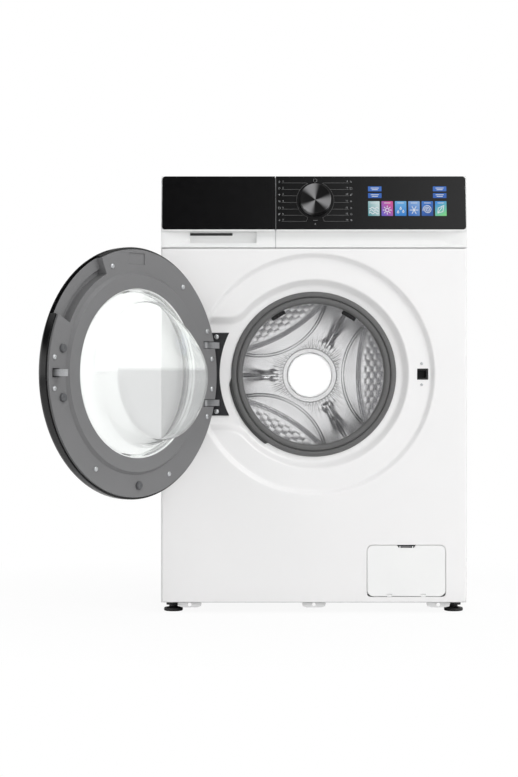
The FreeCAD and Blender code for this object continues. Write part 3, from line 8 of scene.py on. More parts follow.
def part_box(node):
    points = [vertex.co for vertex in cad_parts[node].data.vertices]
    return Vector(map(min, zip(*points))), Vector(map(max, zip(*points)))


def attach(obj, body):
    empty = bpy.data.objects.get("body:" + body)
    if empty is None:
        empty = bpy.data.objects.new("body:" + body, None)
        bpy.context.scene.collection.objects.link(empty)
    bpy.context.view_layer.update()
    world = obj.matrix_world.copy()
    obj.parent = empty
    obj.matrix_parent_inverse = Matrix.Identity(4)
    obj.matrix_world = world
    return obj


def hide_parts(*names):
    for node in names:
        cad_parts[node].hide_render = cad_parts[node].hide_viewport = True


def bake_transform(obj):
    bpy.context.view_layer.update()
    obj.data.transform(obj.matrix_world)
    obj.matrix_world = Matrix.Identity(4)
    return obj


# Front loader with its door open. Sizes are in millimetres and become metres where a mesh is made.
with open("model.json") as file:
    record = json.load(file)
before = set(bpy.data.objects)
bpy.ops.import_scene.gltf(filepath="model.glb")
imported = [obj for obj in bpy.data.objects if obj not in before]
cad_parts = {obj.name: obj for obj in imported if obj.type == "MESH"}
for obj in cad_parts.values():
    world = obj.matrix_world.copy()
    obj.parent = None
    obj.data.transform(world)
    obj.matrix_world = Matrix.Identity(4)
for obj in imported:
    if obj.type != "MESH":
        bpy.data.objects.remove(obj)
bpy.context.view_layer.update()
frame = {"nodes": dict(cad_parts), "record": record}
mm = 0.001
cabinet = {"front": -247.5, "half": 297.5, "axis": 464.0, "foot": 20.0, "seam": 708.4}
hinge = {"x": -212.0, "y": -258.5, "open": 129.0}
doorSwing = Matrix.Rotation(math.radians(-hinge["open"]), 3, "Z")
doorPivot = Vector((hinge["x"], hinge["y"], 0))
bodyOfNode = {n: b for b, nodes in frame["record"]["behaviour"]["bodies"].items() for n in nodes}
print("frame loaded:", len(frame["nodes"]), "nodes")


def toLinear(hexText):
    values = [int(hexText[i:i + 2], 16) / 255 for i in (1, 3, 5)]
    return tuple(v / 12.92 if v <= 0.04045 else ((v + 0.055) / 1.055) ** 2.4 for v in values) + (1.0,)


def addNode(tree, kind, settings=None, inputs=None):
    made = tree.nodes.new(kind)
    for name, value in (settings or {}).items():
        setattr(made, name, value)
    for socket, value in (inputs or {}).items():
        if isinstance(value, bpy.types.NodeSocket):
            tree.links.new(value, made.inputs[socket])
        else:
            made.inputs[socket].default_value = value
    return made


# Shader values that are used again and again, each made by one node
def noiseOf(tree, place, grainMm, **more):
    inputs = {"Vector": place, "Scale": 1000 / grainMm} | more
    return addNode(tree, "ShaderNodeTexNoise", None, inputs).outputs["Fac"]


def rangeOf(tree, value, to=(0.0, 1.0), span=(0.0, 1.0), **settings):
    limits = {"From Min": span[0], "From Max": span[1], "To Min": to[0], "To Max": to[1]}
    return addNode(tree, "ShaderNodeMapRange", settings, {"Value": value} | limits).outputs["Result"]


def tintOf(tree, share, first, second):
    return addNode(tree, "ShaderNodeMix", {"data_type": "RGBA"}, {
        0: share, 6: toLinear(first), 7: toLinear(second)}).outputs[2]


def rampOf(tree, share, *colours):
    ramp = addNode(tree, "ShaderNodeValToRGB", None, {"Fac": share})
    for element, colour in zip(ramp.color_ramp.elements, colours):
        element.color = toLinear(colour)
    return ramp.outputs["Color"]


def mathOf(tree, operation, *values):
    return addNode(tree, "ShaderNodeMath", {"operation": operation}, dict(enumerate(values))).outputs[0]


def vectorOf(tree, operation, *values):
    made = addNode(tree, "ShaderNodeVectorMath", {"operation": operation}, dict(enumerate(values)))
    return made.outputs["Value"]


def movedPlace(tree, place, **moves):
    return addNode(tree, "ShaderNodeMapping", None, {"Vector": place} | moves).outputs[0]


def splitOf(tree, place):
    return addNode(tree, "ShaderNodeSeparateXYZ", None, {"Vector": place}).outputs


def bevelOf(tree, edgeMm):
    return addNode(tree, "ShaderNodeBevel", {"samples": 4}, {"Radius": edgeMm * mm}).outputs["Normal"]


def bumpOf(tree, height, strength, reliefMm, **more):
    return addNode(tree, "ShaderNodeBump", None, {
        "Strength": strength, "Distance": reliefMm * mm, "Height": height} | more).outputs["Normal"]


def feed(shader, sockets):
    for name, source in sockets.items():
        shader.id_data.links.new(source, shader.inputs[name])


def newMaterial(name, sockets):
    material = bpy.data.materials.new(name)
    material.use_nodes = True
    tree = material.node_tree
    shader = tree.nodes["Principled BSDF"]
    for socket, value in sockets.items():
        shader.inputs[socket].default_value = value
    place = addNode(tree, "ShaderNodeTexCoord").outputs["Object"]
    return material, tree, shader, place


# A moulded, sprayed or cast skin: colour drifts over driftMm, and a grain of grainMm sets gloss and relief
def skinMaterial(name, look):
    material, tree, shader, place = newMaterial(name, look["sockets"])
    drift = noiseOf(tree, place, look["driftMm"], Detail=3.0)
    grain = noiseOf(tree, place, look["grainMm"], Detail=2.0)
    edge = bevelOf(tree, look["edgeMm"])
    feed(shader, {
        "Base Color": tintOf(tree, drift, *look["colours"]),
        "Roughness": rangeOf(tree, grain, look["roughness"], (0.3, 0.7)),
        "Normal": bumpOf(tree, grain, look["relief"], look["reliefMm"], Normal=edge)})
    return material


skinFields = ("colours", "driftMm", "grainMm", "roughness", "reliefMm", "edgeMm", "relief", "sockets")
plainSkin = {"relief": 0.4, "sockets": {}}
skins = {
    # polyester powder coat on steel: soft gloss with the faint orange peel of a baked finish
    "enamelledSteel": (("#EBEBEB", "#F0EFEF"), 260, 3.0, (0.30, 0.36), 0.05, 0.9, 0.4,
                       {"Coat Weight": 0.15, "Coat Roughness": 0.2}),
    # painted shade: the front's lower bend, where it faces down, and the tabs under it are coloured greyer
    # than the powder coat
    "primedSteel": (("#AEAFAF", "#B6B7B7"), 60, 1.5, (0.40, 0.48), 0.03, 0.4),
    "primedTab": (("#D8D8D8", "#DEDEDE"), 60, 1.5, (0.40, 0.48), 0.03, 0.4),
    # injection moulded white ABS: a shade warmer than the steel, fine spark-eroded grain
    "mouldedWhiteAbs": (("#ECEDED", "#F1F1F0"), 180, 0.9, (0.34, 0.42), 0.03, 0.8),
    # melamine-faced worktop: flat white with a fine pearl grain
    "worktopLaminate": (("#EAEBEC", "#F0F0F0"), 90, 1.6, (0.36, 0.46), 0.05, 1.2),
    # hard-coated black acrylic of the panel: deep, wet gloss with a trace of moulding ripple
    "blackAcrylic": (("#09090A", "#0D0D0E"), 120, 14, (0.10, 0.13), 0.02, 0.5, 0.15),
    # piano black ABS of the door's outside: mirror gloss, a little softer than the panel's
    "pianoBlackAbs": (("#0D0D0E", "#131314"), 160, 10, (0.14, 0.2), 0.02, 0.8, 0.2),
    # satin mid-grey ABS of the door's inside, lightly sand-textured
    "satinGreyAbs": (("#707071", "#777778"), 140, 0.8, (0.36, 0.46), 0.05, 1.2),
    # EPDM rubber of the door seal: dull, with a powdery bloom
    "epdmRubber": (("#5A5A5A", "#646464"), 60, 0.7, (0.55, 0.68), 0.05, 0.8, 0.4,
                   {"Sheen Weight": 0.15, "Sheen Roughness": 0.5}),
    # its drain spout: the same rubber coloured darker, as painted shade
    "epdmSpout": (("#3A3A3A", "#434343"), 60, 0.7, (0.55, 0.68), 0.05, 0.8),
    # black rubber of hoses and belt: dull and even
    "blackRubber": (("#1B1B1C", "#232324"), 40, 0.7, (0.6, 0.72), 0.05, 0.6),
    # black nylon of nozzles, lock and feet: half matt
    "blackNylon": (("#161617", "#1D1D1E"), 50, 0.6, (0.42, 0.55), 0.05, 0.7),
    # grey rubber pads, a little darker than the ring that they sit in
    "padRubber": (("#515254", "#5A5B5D"), 20, 0.6, (0.5, 0.62), 0.05, 0.8),
    # phosphated hinge steel: dark, with the patchy sheen of the bath
    "phosphatedSteel": (("#2F2F31", "#3B3B3D"), 18, 0.8, (0.34, 0.5), 0.03, 0.6, 0.4, {"Metallic": 0.75}),
    # drawn steel of the hinge arms: bare and satin, a good deal lighter than their plate
    "satinSteel": (("#A6A7A9", "#B4B5B7"), 14, 0.6, (0.26, 0.36), 0.02, 0.6, 0.4, {"Metallic": 0.6}),
    # bright zinc plate of screws and shafts: clean, pale metal
    "brightZinc": (("#C4C6C8", "#D6D8DA"), 6, 0.7, (0.24, 0.32), 0.02, 0.3, 0.4, {"Metallic": 1.0}),
    # filled polypropylene: dull grey of tub, tray and pump, waxy blue of the siphon cap
    "greyPolypropylene": (("#8B8D8F", "#969899"), 70, 1.4, (0.45, 0.58), 0.08, 0.6),
    "bluePolypropylene": (("#3F78B8", "#4B84C4"), 30, 0.8, (0.32, 0.42), 0.03, 0.6),
    # cast concrete: sandy, with pale and dark patches
    "castConcrete": (("#8C8984", "#ABA8A2"), 24, 2.0, (0.8, 0.95), 0.6, 0.6, 0.8),
    # pressure-cast aluminium of spider, pulley and motor: grey, faintly mottled metal
    "castAluminium": (("#A9ABAD", "#BDBFC1"), 16, 1.2, (0.36, 0.5), 0.08, 0.6, 0.4, {"Metallic": 1.0}),
    # white polypropylene of hub cap and lifters: the whitest skin, waxy
    "whitePolypropylene": (("#F7F8F8", "#FBFBFB"), 60, 0.9, (0.36, 0.46), 0.03, 0.8),
    # painted shade of the seam between drawer and panel: a grey strip, and a paler moulding below it; flat,
    # without shine
    "seamGrey": (("#9B9C9D", "#A3A4A5"), 20, 0.7, (0.6, 0.7), 0.02, 0.2),
    "seamPale": (("#BDBEBF", "#C6C7C8"), 20, 0.7, (0.6, 0.7), 0.02, 0.2),
    # screen-printed inks: flat, a little rougher than what they lie on; the leader lines are the dimmer ones
    "dimInk": (("#565656", "#5E5E5E"), 8, 0.4, (0.5, 0.6), 0.005, 0.05),
    "greyInk": (("#8E8F90", "#999A9B"), 8, 0.4, (0.5, 0.6), 0.005, 0.05),
}
finishes = {name: skinMaterial(name, plainSkin | dict(zip(skinFields, row))) for name, row in skins.items()}


# Hot-dip galvanised sheet: zinc crystals, each with its own tone and gloss
def galvanisedSheet():
    crystalMm = 9
    material, tree, shader, place = newMaterial("galvanisedSheet", {"Metallic": 0.9})
    crystal = addNode(tree, "ShaderNodeTexVoronoi", None, {"Vector": place, "Scale": 1000 / crystalMm})
    feed(shader, {
        "Base Color": rampOf(tree, crystal.outputs["Color"], "#9DA0A2", "#BFC2C4"),
        "Roughness": rangeOf(tree, crystal.outputs["Color"], (0.32, 0.5)),
        "Normal": bevelOf(tree, 0.6)})
    return material


# Bright-annealed stainless: pale, soft reflections with a faint roll grain and a few dull water marks
def stainlessSheet():
    markMm, grainMm, rolled = 22, 0.9, (1.0, 1.0, 0.03)
    material, tree, shader, place = newMaterial("stainlessSheet", {
        "Metallic": 1.0, "Base Color": toLinear("#F0F0F1")})
    marks = noiseOf(tree, place, markMm, Detail=4.0)
    grain = noiseOf(tree, movedPlace(tree, place, Scale=rolled), grainMm)
    feed(shader, {
        "Roughness": rangeOf(tree, marks, (0.20, 0.26), (0.35, 0.7)),
        "Normal": bumpOf(tree, grain, 0.08, 0.02)})
    return material


# Spun dark chrome: three pale fans with black between them are painted highlights in its base colour, set by
# angle round the centre; the lathe rings are only a fine bump
def paintedFanChrome():
    centre, paintedFans, firstPaintedFan, toolMm = (2.5, -240.7, 802.0), 3.0, 110, 0.5
    material, tree, shader, place = newMaterial("spunDarkChrome", {
        "Metallic": 0.3, "Roughness": 0.38, "Specular IOR Level": 0.25})
    split = splitOf(tree, movedPlace(tree, place, Location=[-v * mm for v in centre]))
    turned = mathOf(tree, "ARCTAN2", split["Z"], split["X"])
    wave = mathOf(tree, "COSINE", mathOf(tree, "MULTIPLY_ADD", turned, paintedFans, -paintedFans * math.radians(firstPaintedFan)))
    # painted highlight: the base colour turns pale in three fans round the centre
    share = rangeOf(tree, wave, span=(-0.5, 1.05), interpolation_type="SMOOTHSTEP")
    flat = addNode(tree, "ShaderNodeCombineXYZ", None, {"X": split["X"], "Z": split["Z"]})
    rings = addNode(tree, "ShaderNodeTexNoise", {"noise_dimensions": "1D"}, {
        "W": vectorOf(tree, "LENGTH", flat.outputs[0]), "Scale": 1000 / toolMm})
    feed(shader, {
        "Base Color": tintOf(tree, share, "#030303", "#868687"),
        "Normal": bumpOf(tree, rings.outputs["Fac"], 0.15, 0.02)})
    return material


# Pressed borosilicate: clear, with the slow waves of a pressed wall; painted shade makes the lower part of
# its flat end a shade greyer
def pressedGlass():
    endMm, shadeEdgeMm, waveMm = (78, 83), (476, 468), 60
    material, tree, shader, place = newMaterial("pressedGlass", {
        "Transmission Weight": 0.82, "IOR": 1.06, "Roughness": 0.0, "Coat Weight": 1.0,
        "Coat Roughness": 0.02})
    lean = math.radians(hinge["open"])
    fromHinge = movedPlace(tree, place, Location=(-hinge["x"] * mm, -hinge["y"] * mm, 0.0))
    along = vectorOf(tree, "DOT_PRODUCT", fromHinge, (math.sin(lean), math.cos(lean), 0.0))
    flatEnd = rangeOf(tree, along, span=[v * mm for v in endMm])
    # painted shade: the flat end is greyer below this height
    below = rangeOf(tree, splitOf(tree, place)["Z"], span=[v * mm for v in shadeEdgeMm])
    feed(shader, {
        "Base Color": tintOf(tree, mathOf(tree, "MULTIPLY", flatEnd, below), "#FBFDFC", "#DBDCDC"),
        "Normal": bumpOf(tree, noiseOf(tree, place, waveMm, Detail=1.0), 0.08, 0.6)})
    return material


finishes["galvanisedSheet"] = galvanisedSheet()
finishes["stainlessSheet"] = stainlessSheet()
finishes["spunDarkChrome"] = paintedFanChrome()
finishes["pressedGlass"] = pressedGlass()
print("finishes:", len(finishes))


def smoothMesh(mesh, angle):
    mesh.shade_smooth()
    mesh.set_sharp_from_angle(angle=math.radians(angle))


def meshOf(name, verts, faces, weld=True, recalc=True):
    shape = bmesh.new()
    made = [shape.verts.new(Vector(v) * mm) for v in verts]
    for face in faces:
        if len(set(face)) > 2:
            shape.faces.new([made[i] for i in dict.fromkeys(face)])
    if weld:
        bmesh.ops.remove_doubles(shape, verts=shape.verts, dist=0.004 * mm)
    if recalc:
        bmesh.ops.recalc_face_normals(shape, faces=shape.faces)
    mesh = bpy.data.meshes.new(name)
    shape.to_mesh(mesh)
    shape.free()
    return mesh


def newObject(name, data):
    made = bpy.data.objects.new(name, data)
    bpy.context.scene.collection.objects.link(made)
    return made


def placePiece(name, mesh, finish, body, angle=32):
    smoothMesh(mesh, angle)
    mesh.materials.clear()
    mesh.materials.append(finishes[finish])
    piece = newObject(name, mesh)
    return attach(piece, body) if body else piece  # a piece that bends between two bodies rides neither


def addPiece(name, verts, faces, finish, body, angle=32, recalc=True):
    return placePiece(name, meshOf(name, verts, faces, recalc=recalc), finish, body, angle)


# A small part that is only there to be set on points
def loosePart(name, verts, faces):
    mesh = meshOf(name, verts, faces, weld=False)
    smoothMesh(mesh, 40)
    return newObject(name, mesh)


def evaluatedMesh(holder):
    graph = bpy.context.evaluated_depsgraph_get()
    graph.update()
    return bpy.data.meshes.new_from_object(holder.evaluated_get(graph))


def stands(piece, *nodes):
    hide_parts(*nodes)
    return piece


# Rings of points joined into a skin; rings hold equal counts, and each closes on itself
def joinRings(rings, loop):
    count = len(rings[0])
    verts = [p for ring in rings for p in ring]
    faces = []
    for i in range(len(rings) if loop else len(rings) - 1):
        a, b = i * count, (i + 1) % len(rings) * count
        for j in range(count):
            k = (j + 1) % count
            faces.append((a + j, a + k, b + k, b + j))
    return verts, faces


# The same with a lid on the first and the last ring
def joinLidded(rings):
    verts, faces = joinRings(rings, False)
    n = len(rings[0])
    return verts, faces + [tuple(range(n)), tuple(range(len(verts) - n, len(verts)))]


# An outline in X and Z given thickness along Y, and one in Y and Z drawn along X
def flatPlate(name, outline, y0, y1, finish, body):
    return addPiece(name, *joinLidded([[(x, y, z) for x, z in outline] for y in (y0, y1)]), finish, body)


def barAcross(name, outline, ends, finish, body):
    return addPiece(name, *joinLidded([[(x, y, z) for y, z in outline] for x in ends]), finish, body)


def around(steps):
    return [2 * math.pi * j / steps for j in range(steps)]


def ringAt(r, y, angles):
    return [(r * math.cos(t), y, cabinet["axis"] + r * math.sin(t)) for t in angles]


def turn(profile, steps):
    angles = around(steps)
    return [ringAt(r, y, angles) for r, y in profile]


def upright(rows, x, y, steps):
    angles = around(steps)
    return [[(x + r * math.cos(t), y + r * math.sin(t), z) for t in angles] for r, z in rows]


def swingOpen(points):
    return [doorPivot + doorSwing @ (Vector(p) - doorPivot) for p in points]


def clamp(t):
    return min(1.0, max(0.0, t))


def ease(t):
    t = clamp(t)
    return t * t * (3 - 2 * t)


# A bevel with a flat middle and soft ends
def bevelRamp(t):
    return 0.45 * clamp(t) + 0.55 * ease(t)


# The lesser of two values, rounded off over k where they meet
def softMin(a, b, k):
    mix = max(k - abs(a - b), 0) / k
    return min(a, b) - mix * mix * k / 4


# Front panel: one sheet pressed into a dish, a stepped recess and the hinge pocket
frontSheet = {"dish": (227.0, 235.5, 10.0), "recess": (172.0, 13.5, 16.0), "pocket": 98.0,
              "pocketRight": -40.0, "pocketBlend": 18.0, "pocketEnd": (228.0, 232.5), "hole": 157.0,
              "lip": 34.0, "spokes": 480, "side": 5.0, "edge": 1.5, "returnDepth": 22.0, "sheet": 1.0,
              "stepRings": (159.0, 3.0, 5), "dishRings": (173.5, 1.7, 39),
              "flatShares": (0.04, 0.12, 0.3, 0.55, 0.8, 1.0), "bends": (15, 30, 45, 60, 75, 90)}


def pressDepth(x, z):
    p = frontSheet
    r = math.hypot(x, z)
    dishFrom, dishTo, dishDeep = p["dish"]
    recessRadius, recessWide, recessDeep = p["recess"]
    endFrom, endTo = p["pocketEnd"]
    dish = dishDeep * (1 - bevelRamp((r - dishFrom) / (dishTo - dishFrom)))
    toPocket = max(abs(z) - p["pocket"], x - p["pocketRight"])
    edge = softMin(r - recessRadius, toPocket, p["pocketBlend"])
    recess = recessDeep * (1 - bevelRamp(edge / recessWide))
    if x < 0:
        recess *= 1 - ease((r - endFrom) / (endTo - endFrom))
    return dish + recess


# Where a ray from the porthole's centre leaves the sheet's flat
def rayEnd(t, half, top, low):
    tiny, far = 1e-9, 1e9
    ux, uz = math.cos(t), math.sin(t)
    sideways = half / abs(ux) if abs(ux) > tiny else far
    upwards = (top if uz > 0 else low) / uz if abs(uz) > tiny else far
    reach = min(sideways, upwards)
    return ux * reach, uz * reach


def buildFrontSheet():
    p, front, axis = frontSheet, cabinet["front"], cabinet["axis"]
    half = cabinet["half"] - p["side"]
    top, low = cabinet["seam"] - p["edge"] - axis, cabinet["foot"] + p["edge"] - axis
    angles = [t - math.pi for t in around(p["spokes"])]
    corners = [math.atan2(z, x) for x in (half, -half) for z in (top, low)]
    for corner in corners:  # each takes over the nearest spoke
        angles[min(range(len(angles)), key=lambda j: abs(angles[j] - corner))] = corner
    angles.sort()
    radii = [p["hole"]] + [start + step * i for start, step, count in (p["stepRings"], p["dishRings"])
                           for i in range(count)]
    rings = [ringAt(p["hole"], front + p["lip"], angles)]
    for r in radii:
        flat = [(r * math.cos(t), r * math.sin(t)) for t in angles]
        rings.append([(x, front + pressDepth(x, z), axis + z) for x, z in flat])
    border = [rayEnd(t, half, top, low) for t in angles]
    for share in p["flatShares"]:
        rings.append([(x + (bx - x) * share, front, axis + z + (bz - z) * share)
                      for (bx, bz), (x, z) in zip(border, flat)])
    near = 0.01
    for bend in p["bends"] + (None,):  # the last row is the end of the return
        lean = math.radians(90 if bend is None else bend)
        ring = []
        for bx, bz in border:
            sideways = math.copysign(1, bx) if abs(abs(bx) - half) < near else 0
            upwards = 1 if abs(bz - top) < near else -1 if abs(bz - low) < near else 0
            depth = (1 - math.cos(lean)) * (p["side"] if sideways else p["edge"])
            ring.append((bx + sideways * p["side"] * math.sin(lean),
                         front + (p["returnDepth"] if bend is None else depth),
                         axis + bz + upwards * p["edge"] * math.sin(lean)))
        rings.append(ring)
    sheet = addPiece("frontSheet", *joinRings(rings, False), "enamelledSteel", "cabinet", 60, False)
    wall = sheet.modifiers.new("wall", "SOLIDIFY")
    wall.thickness = p["sheet"] * mm
    wall.offset = 1  # the rings run so that the wall grows inwards from the face
    return sheet


flapHole = {"x": 179.5, "z": 81.5, "width": 154.0, "height": 101.0, "corner": 12.0, "lowCorner": 8.0,
            "y": (-252, -240)}
lockHole = {"x": 212.0, "z": 464.0, "width": 21.6, "height": 21.6, "corner": 0.8, "lowCorner": 0.8,
            "y": (-245, -230)}


def roundedRect(x, z, width, height, corner, steps=8, lowCorner=None):
    points = []
    for cx, cz, start in ((1, 1, 0), (-1, 1, 90), (-1, -1, 180), (1, -1, 270)):
        bend = corner if cz > 0 or lowCorner is None else lowCorner
        for i in range(steps + 1):
            t = math.radians(start + 90 * i / steps)
            points.append((x + cx * (width / 2 - bend) + bend * math.cos(t),
                           z + cz * (height / 2 - bend) + bend * math.sin(t)))
    return points


def roundedPlate(name, p, finish, body):
    measures = [p[k] for k in ("x", "z", "width", "height", "corner")]
    outline = roundedRect(*measures, p.get("steps", 8), p.get("lowCorner"))
    return flatPlate(name, outline, *p["y"], finish, body)


def applyModifiers(piece):
    mesh = evaluatedMesh(piece)
    piece.modifiers.clear()
    piece.data = mesh


def punch(piece, hole):
    cutter = roundedPlate("cutter", hole, "enamelledSteel", "cabinet")
    cut = piece.modifiers.new("hole", "BOOLEAN")
    cut.object = cutter
    cut.solver = "EXACT"
    applyModifiers(piece)
    bpy.data.objects.remove(cutter)


# Three punched tabs under the front edge
plinthTabs = {"places": (-242.0, 0.0, 242.0), "wide": 24.3, "narrow": 21.0, "top": 21.5, "low": 10.0,
              "y": -242.5, "sheet": 1.0, "holeZ": 15.5, "hole": 3.5, "steps": 24}


def tabLoops(x):
    p = plinthTabs
    level, far, tiny = 0.01, 1e9, 1e-9
    outer, inner = [], []
    for j in range(p["steps"]):
        t = 2 * math.pi * (j + 0.5) / p["steps"]
        ux, uz = math.cos(t), math.sin(t)
        end = p["top"] if uz > 0 else p["low"]
        upwards = (end - p["holeZ"]) / uz if abs(uz) > level else far
        r = min(upwards, p["wide"] / (abs(ux) + tiny))
        z = p["holeZ"] + uz * r
        wide = p["narrow"] + (p["wide"] - p["narrow"]) * (z - p["low"]) / (p["top"] - p["low"])
        outer.append((x + max(-wide, min(wide, ux * r)), z))
        inner.append((x + ux * p["hole"], p["holeZ"] + uz * p["hole"]))
    return outer, inner


def addTabs(piece):
    p = plinthTabs
    shape = bmesh.new()
    shape.from_mesh(piece.data)
    for x in p["places"]:
        outer, inner = tabLoops(x)
        sides = ((inner, 0), (outer, 0), (outer, 1), (inner, 1))
        rings = [[(a, p["y"] + k * p["sheet"], b) for a, b in loop] for loop, k in sides]
        verts, faces = joinRings(rings, True)
        made = [shape.verts.new(Vector(v) * mm) for v in verts]
        for a, b, c, d in faces:
            shape.faces.new((made[a], made[d], made[c], made[b]))
    shape.to_mesh(piece.data)
    shape.free()


# painted shade: the tabs under the front edge and the downward-facing lower bend take the greyer steel
paintedShadeFaces = {"tabsBelow": 19.9, "bendBelow": 22.0, "downwards": -0.15}
frontPiece = buildFrontSheet()
applyModifiers(frontPiece)
punch(frontPiece, flapHole)
punch(frontPiece, lockHole)
addTabs(frontPiece)
smoothMesh(frontPiece.data, 50)
for finish in ("primedSteel", "primedTab"):
    frontPiece.data.materials.append(finishes[finish])
for face in frontPiece.data.polygons:
    if face.center.z < paintedShadeFaces["tabsBelow"] * mm:
        face.material_index = 2
    elif face.center.z < paintedShadeFaces["bendBelow"] * mm and face.normal.z < paintedShadeFaces["downwards"]:
        face.material_index = 1
stands(frontPiece, "front_panel")
print("front sheet:", len(frontPiece.data.polygons))

# Door seal: a moulded ring with a lip, a groove, a folded throat and a drain spout
seal = {"profile": (
    (161.0, 26.05), (161.4, 24.4), (160.7, 22.6), (158.8, 21.2), (156.0, 20.6), (152.8, 20.6), (151.8, 21.2),
    (151.3, 23.4), (150.5, 25.2), (149.8, 25.2), (149.2, 23.4), (148.7, 21.2), (147.8, 20.5), (145.2, 20.3),
    (143.4, 20.6), (140.6, 21.8), (138.9, 23.8), (138.5, 26.5), (138.5, 34.0), (139.2, 36.4), (141.2, 38.4),
    (141.7, 41.0), (141.2, 43.6), (139.2, 45.6), (138.6, 48.0), (138.9, 53.0), (140.2, 55.6), (143.0, 56.2),
    (167.8, 56.2), (167.8, 65.4), (171.8, 65.4), (171.8, 52.2), (146.0, 52.0), (144.6, 46.0), (144.8, 38.0),
    (142.6, 33.0), (142.6, 28.2), (150.7, 28.0), (150.7, 38.8), (162.4, 38.8), (162.4, 35.2), (156.7, 35.0),
    (156.7, 26.05)), "steps": 240}
spout = {"angles": (180.5, 236.5), "radii": (159.0, 166.2), "rise": (22.4, 26.0), "steps": 40,
         "chamfer": 1.2, "swellIn": 9, "swellOut": 30, "swellEnd": 0.25}


def buildSeal():
    s, front = spout, cabinet["front"]
    verts, faces = joinRings(turn([(r, front + y) for r, y in seal["profile"]], seal["steps"]), True)
    ringFaces, first = len(faces), len(verts)
    (start, end), (root, crest), (low, high) = s["angles"], s["radii"], s["rise"]
    for j in range(s["steps"] + 1):
        share = j / s["steps"]
        t = math.radians(start + (end - start) * share)
        swell = min(1.0, share * s["swellIn"], (1 - share) * s["swellOut"] + s["swellEnd"])
        outer = root + (crest - root) * swell
        cut = s["chamfer"]
        section = ((root, high), (outer, high), (outer, low + cut), (outer - cut, low), (root, low))
        for r, y in section:
            verts += ringAt(r, front + y, (t,))
    n = len(section)
    for j in range(s["steps"]):
        a, b = first + n * j, first + n * (j + 1)
        for i in range(n):
            k = (i + 1) % n
            faces.append((a + i, a + k, b + k, b + i))
    last = first + n * s["steps"]
    faces += [tuple(first + i for i in range(n)), tuple(last + i for i in range(n))]
    piece = addPiece("doorSeal", verts, faces, "epdmRubber", None, 50)
    # painted shade: the spout takes the darker rubber
    piece.data.materials.append(finishes["epdmSpout"])
    for face in piece.data.polygons[ringFaces - len(faces):]:
        face.material_index = 1
    return piece


sealPiece = buildSeal()
stands(sealPiece, "gasket")
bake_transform(sealPiece)  # its folded throat gives
print("door seal:", len(sealPiece.data.polygons))

# Drum back: a stamped boss and beads, radial ribs, three crescents, three flutes and a honeycomb field
drumBack = {"face": 100.5, "rim": 110.5, "radius": 239.0, "bore": 44.2, "spokes": 720, "ringMm": 1.6,
            "sheet": 1.0, "pressedTo": 32.0, "fade": (34.0, 14.0), "boss": (66.0, 14.0, 0.6),
            "beads": (50.0, 55.0), "beadWide": 1.2, "beadRise": 0.4, "ribs": 54, "ribRise": 0.22,
            "ribIn": (57.0, 6.0), "ribOut": (74.0, 24.0), "ribClear": 9.0, "innerArc": (210.8, 144.8),
            "outerArc": (445.6, 339.6), "crescentRise": 2.4, "crescentTip": (128.0, 14.0), "cellMm": 15.0,
            "cellRise": 0.4, "cellsOff": (3.0, 8.0), "cellsFrom": (100.0, 10.0)}
crescentSteps = ((0, 0.0), (2.2, 0.46), (3.4, 0.50), (4.6, 0.44), (6.8, 0.96), (8.2, 1.0), (12.0, 0.96),
                 (17.0, 0.94))
flute = {"waist": 88.0, "wide": 9.0, "flareOut": (16.0, 60.0), "flareIn": (12.0, 26.0),
         "from": (62.0, 12.0), "rise": 3.6, "fall": 2.2, "wave": (96.0, 26.0), "waveShares": (0.45, 0.55),
         "groove": (1.6, 3.2), "grooveFrom": (100.0, 12.0)}


def hexPillow(u, v, pitch):
    row = pitch * 0.866
    best = 1e9
    for base in (0, 0.5):
        j = round((v / row - 2 * base) / 2) * 2 + 2 * base
        i = round(u / pitch - base) + base
        best = min(best, math.hypot(u - i * pitch, v - j * row))
    return clamp(1 - (best / (pitch * 0.56)) ** 2)


def crescentRise(d):
    if d <= 0:
        return 0.0
    for (d0, h0), (d1, h1) in zip(crescentSteps, crescentSteps[1:]):
        if d < d1:
            return h0 + (h1 - h0) * ease((d - d0) / (d1 - d0))
    return crescentSteps[-1][1]


# The pressing repeats three times round the axis: a point's place within its own third
def inThird(r, t, shift):
    third = math.pi / 3
    folded = (t + third + shift) % (2 * third) - third
    return r * math.cos(folded), r * math.sin(folded)


# Grows from nothing at the start to its whole over the length given
def rampFrom(value, start, length):
    return ease((value - start) / length)


def fluteRise(u, v):
    f = flute
    wide = f["wide"] + f["flareOut"][0] * ease((u - f["waist"]) / f["flareOut"][1])
    wide += f["flareIn"][0] * ease((f["waist"] - u) / f["flareIn"][1])
    swell = rampFrom(u, *f["from"])
    wave = f["waveShares"][0] + f["waveShares"][1] * math.cos((u - f["wave"][0]) / f["wave"][1]) ** 2
    groove = f["groove"][0] * swell * math.exp(-(v / f["groove"][1]) ** 2) * rampFrom(u, *f["grooveFrom"])
    return f["rise"] * swell * math.exp(-(v / wide) ** 2 * f["fall"]) * wave - groove


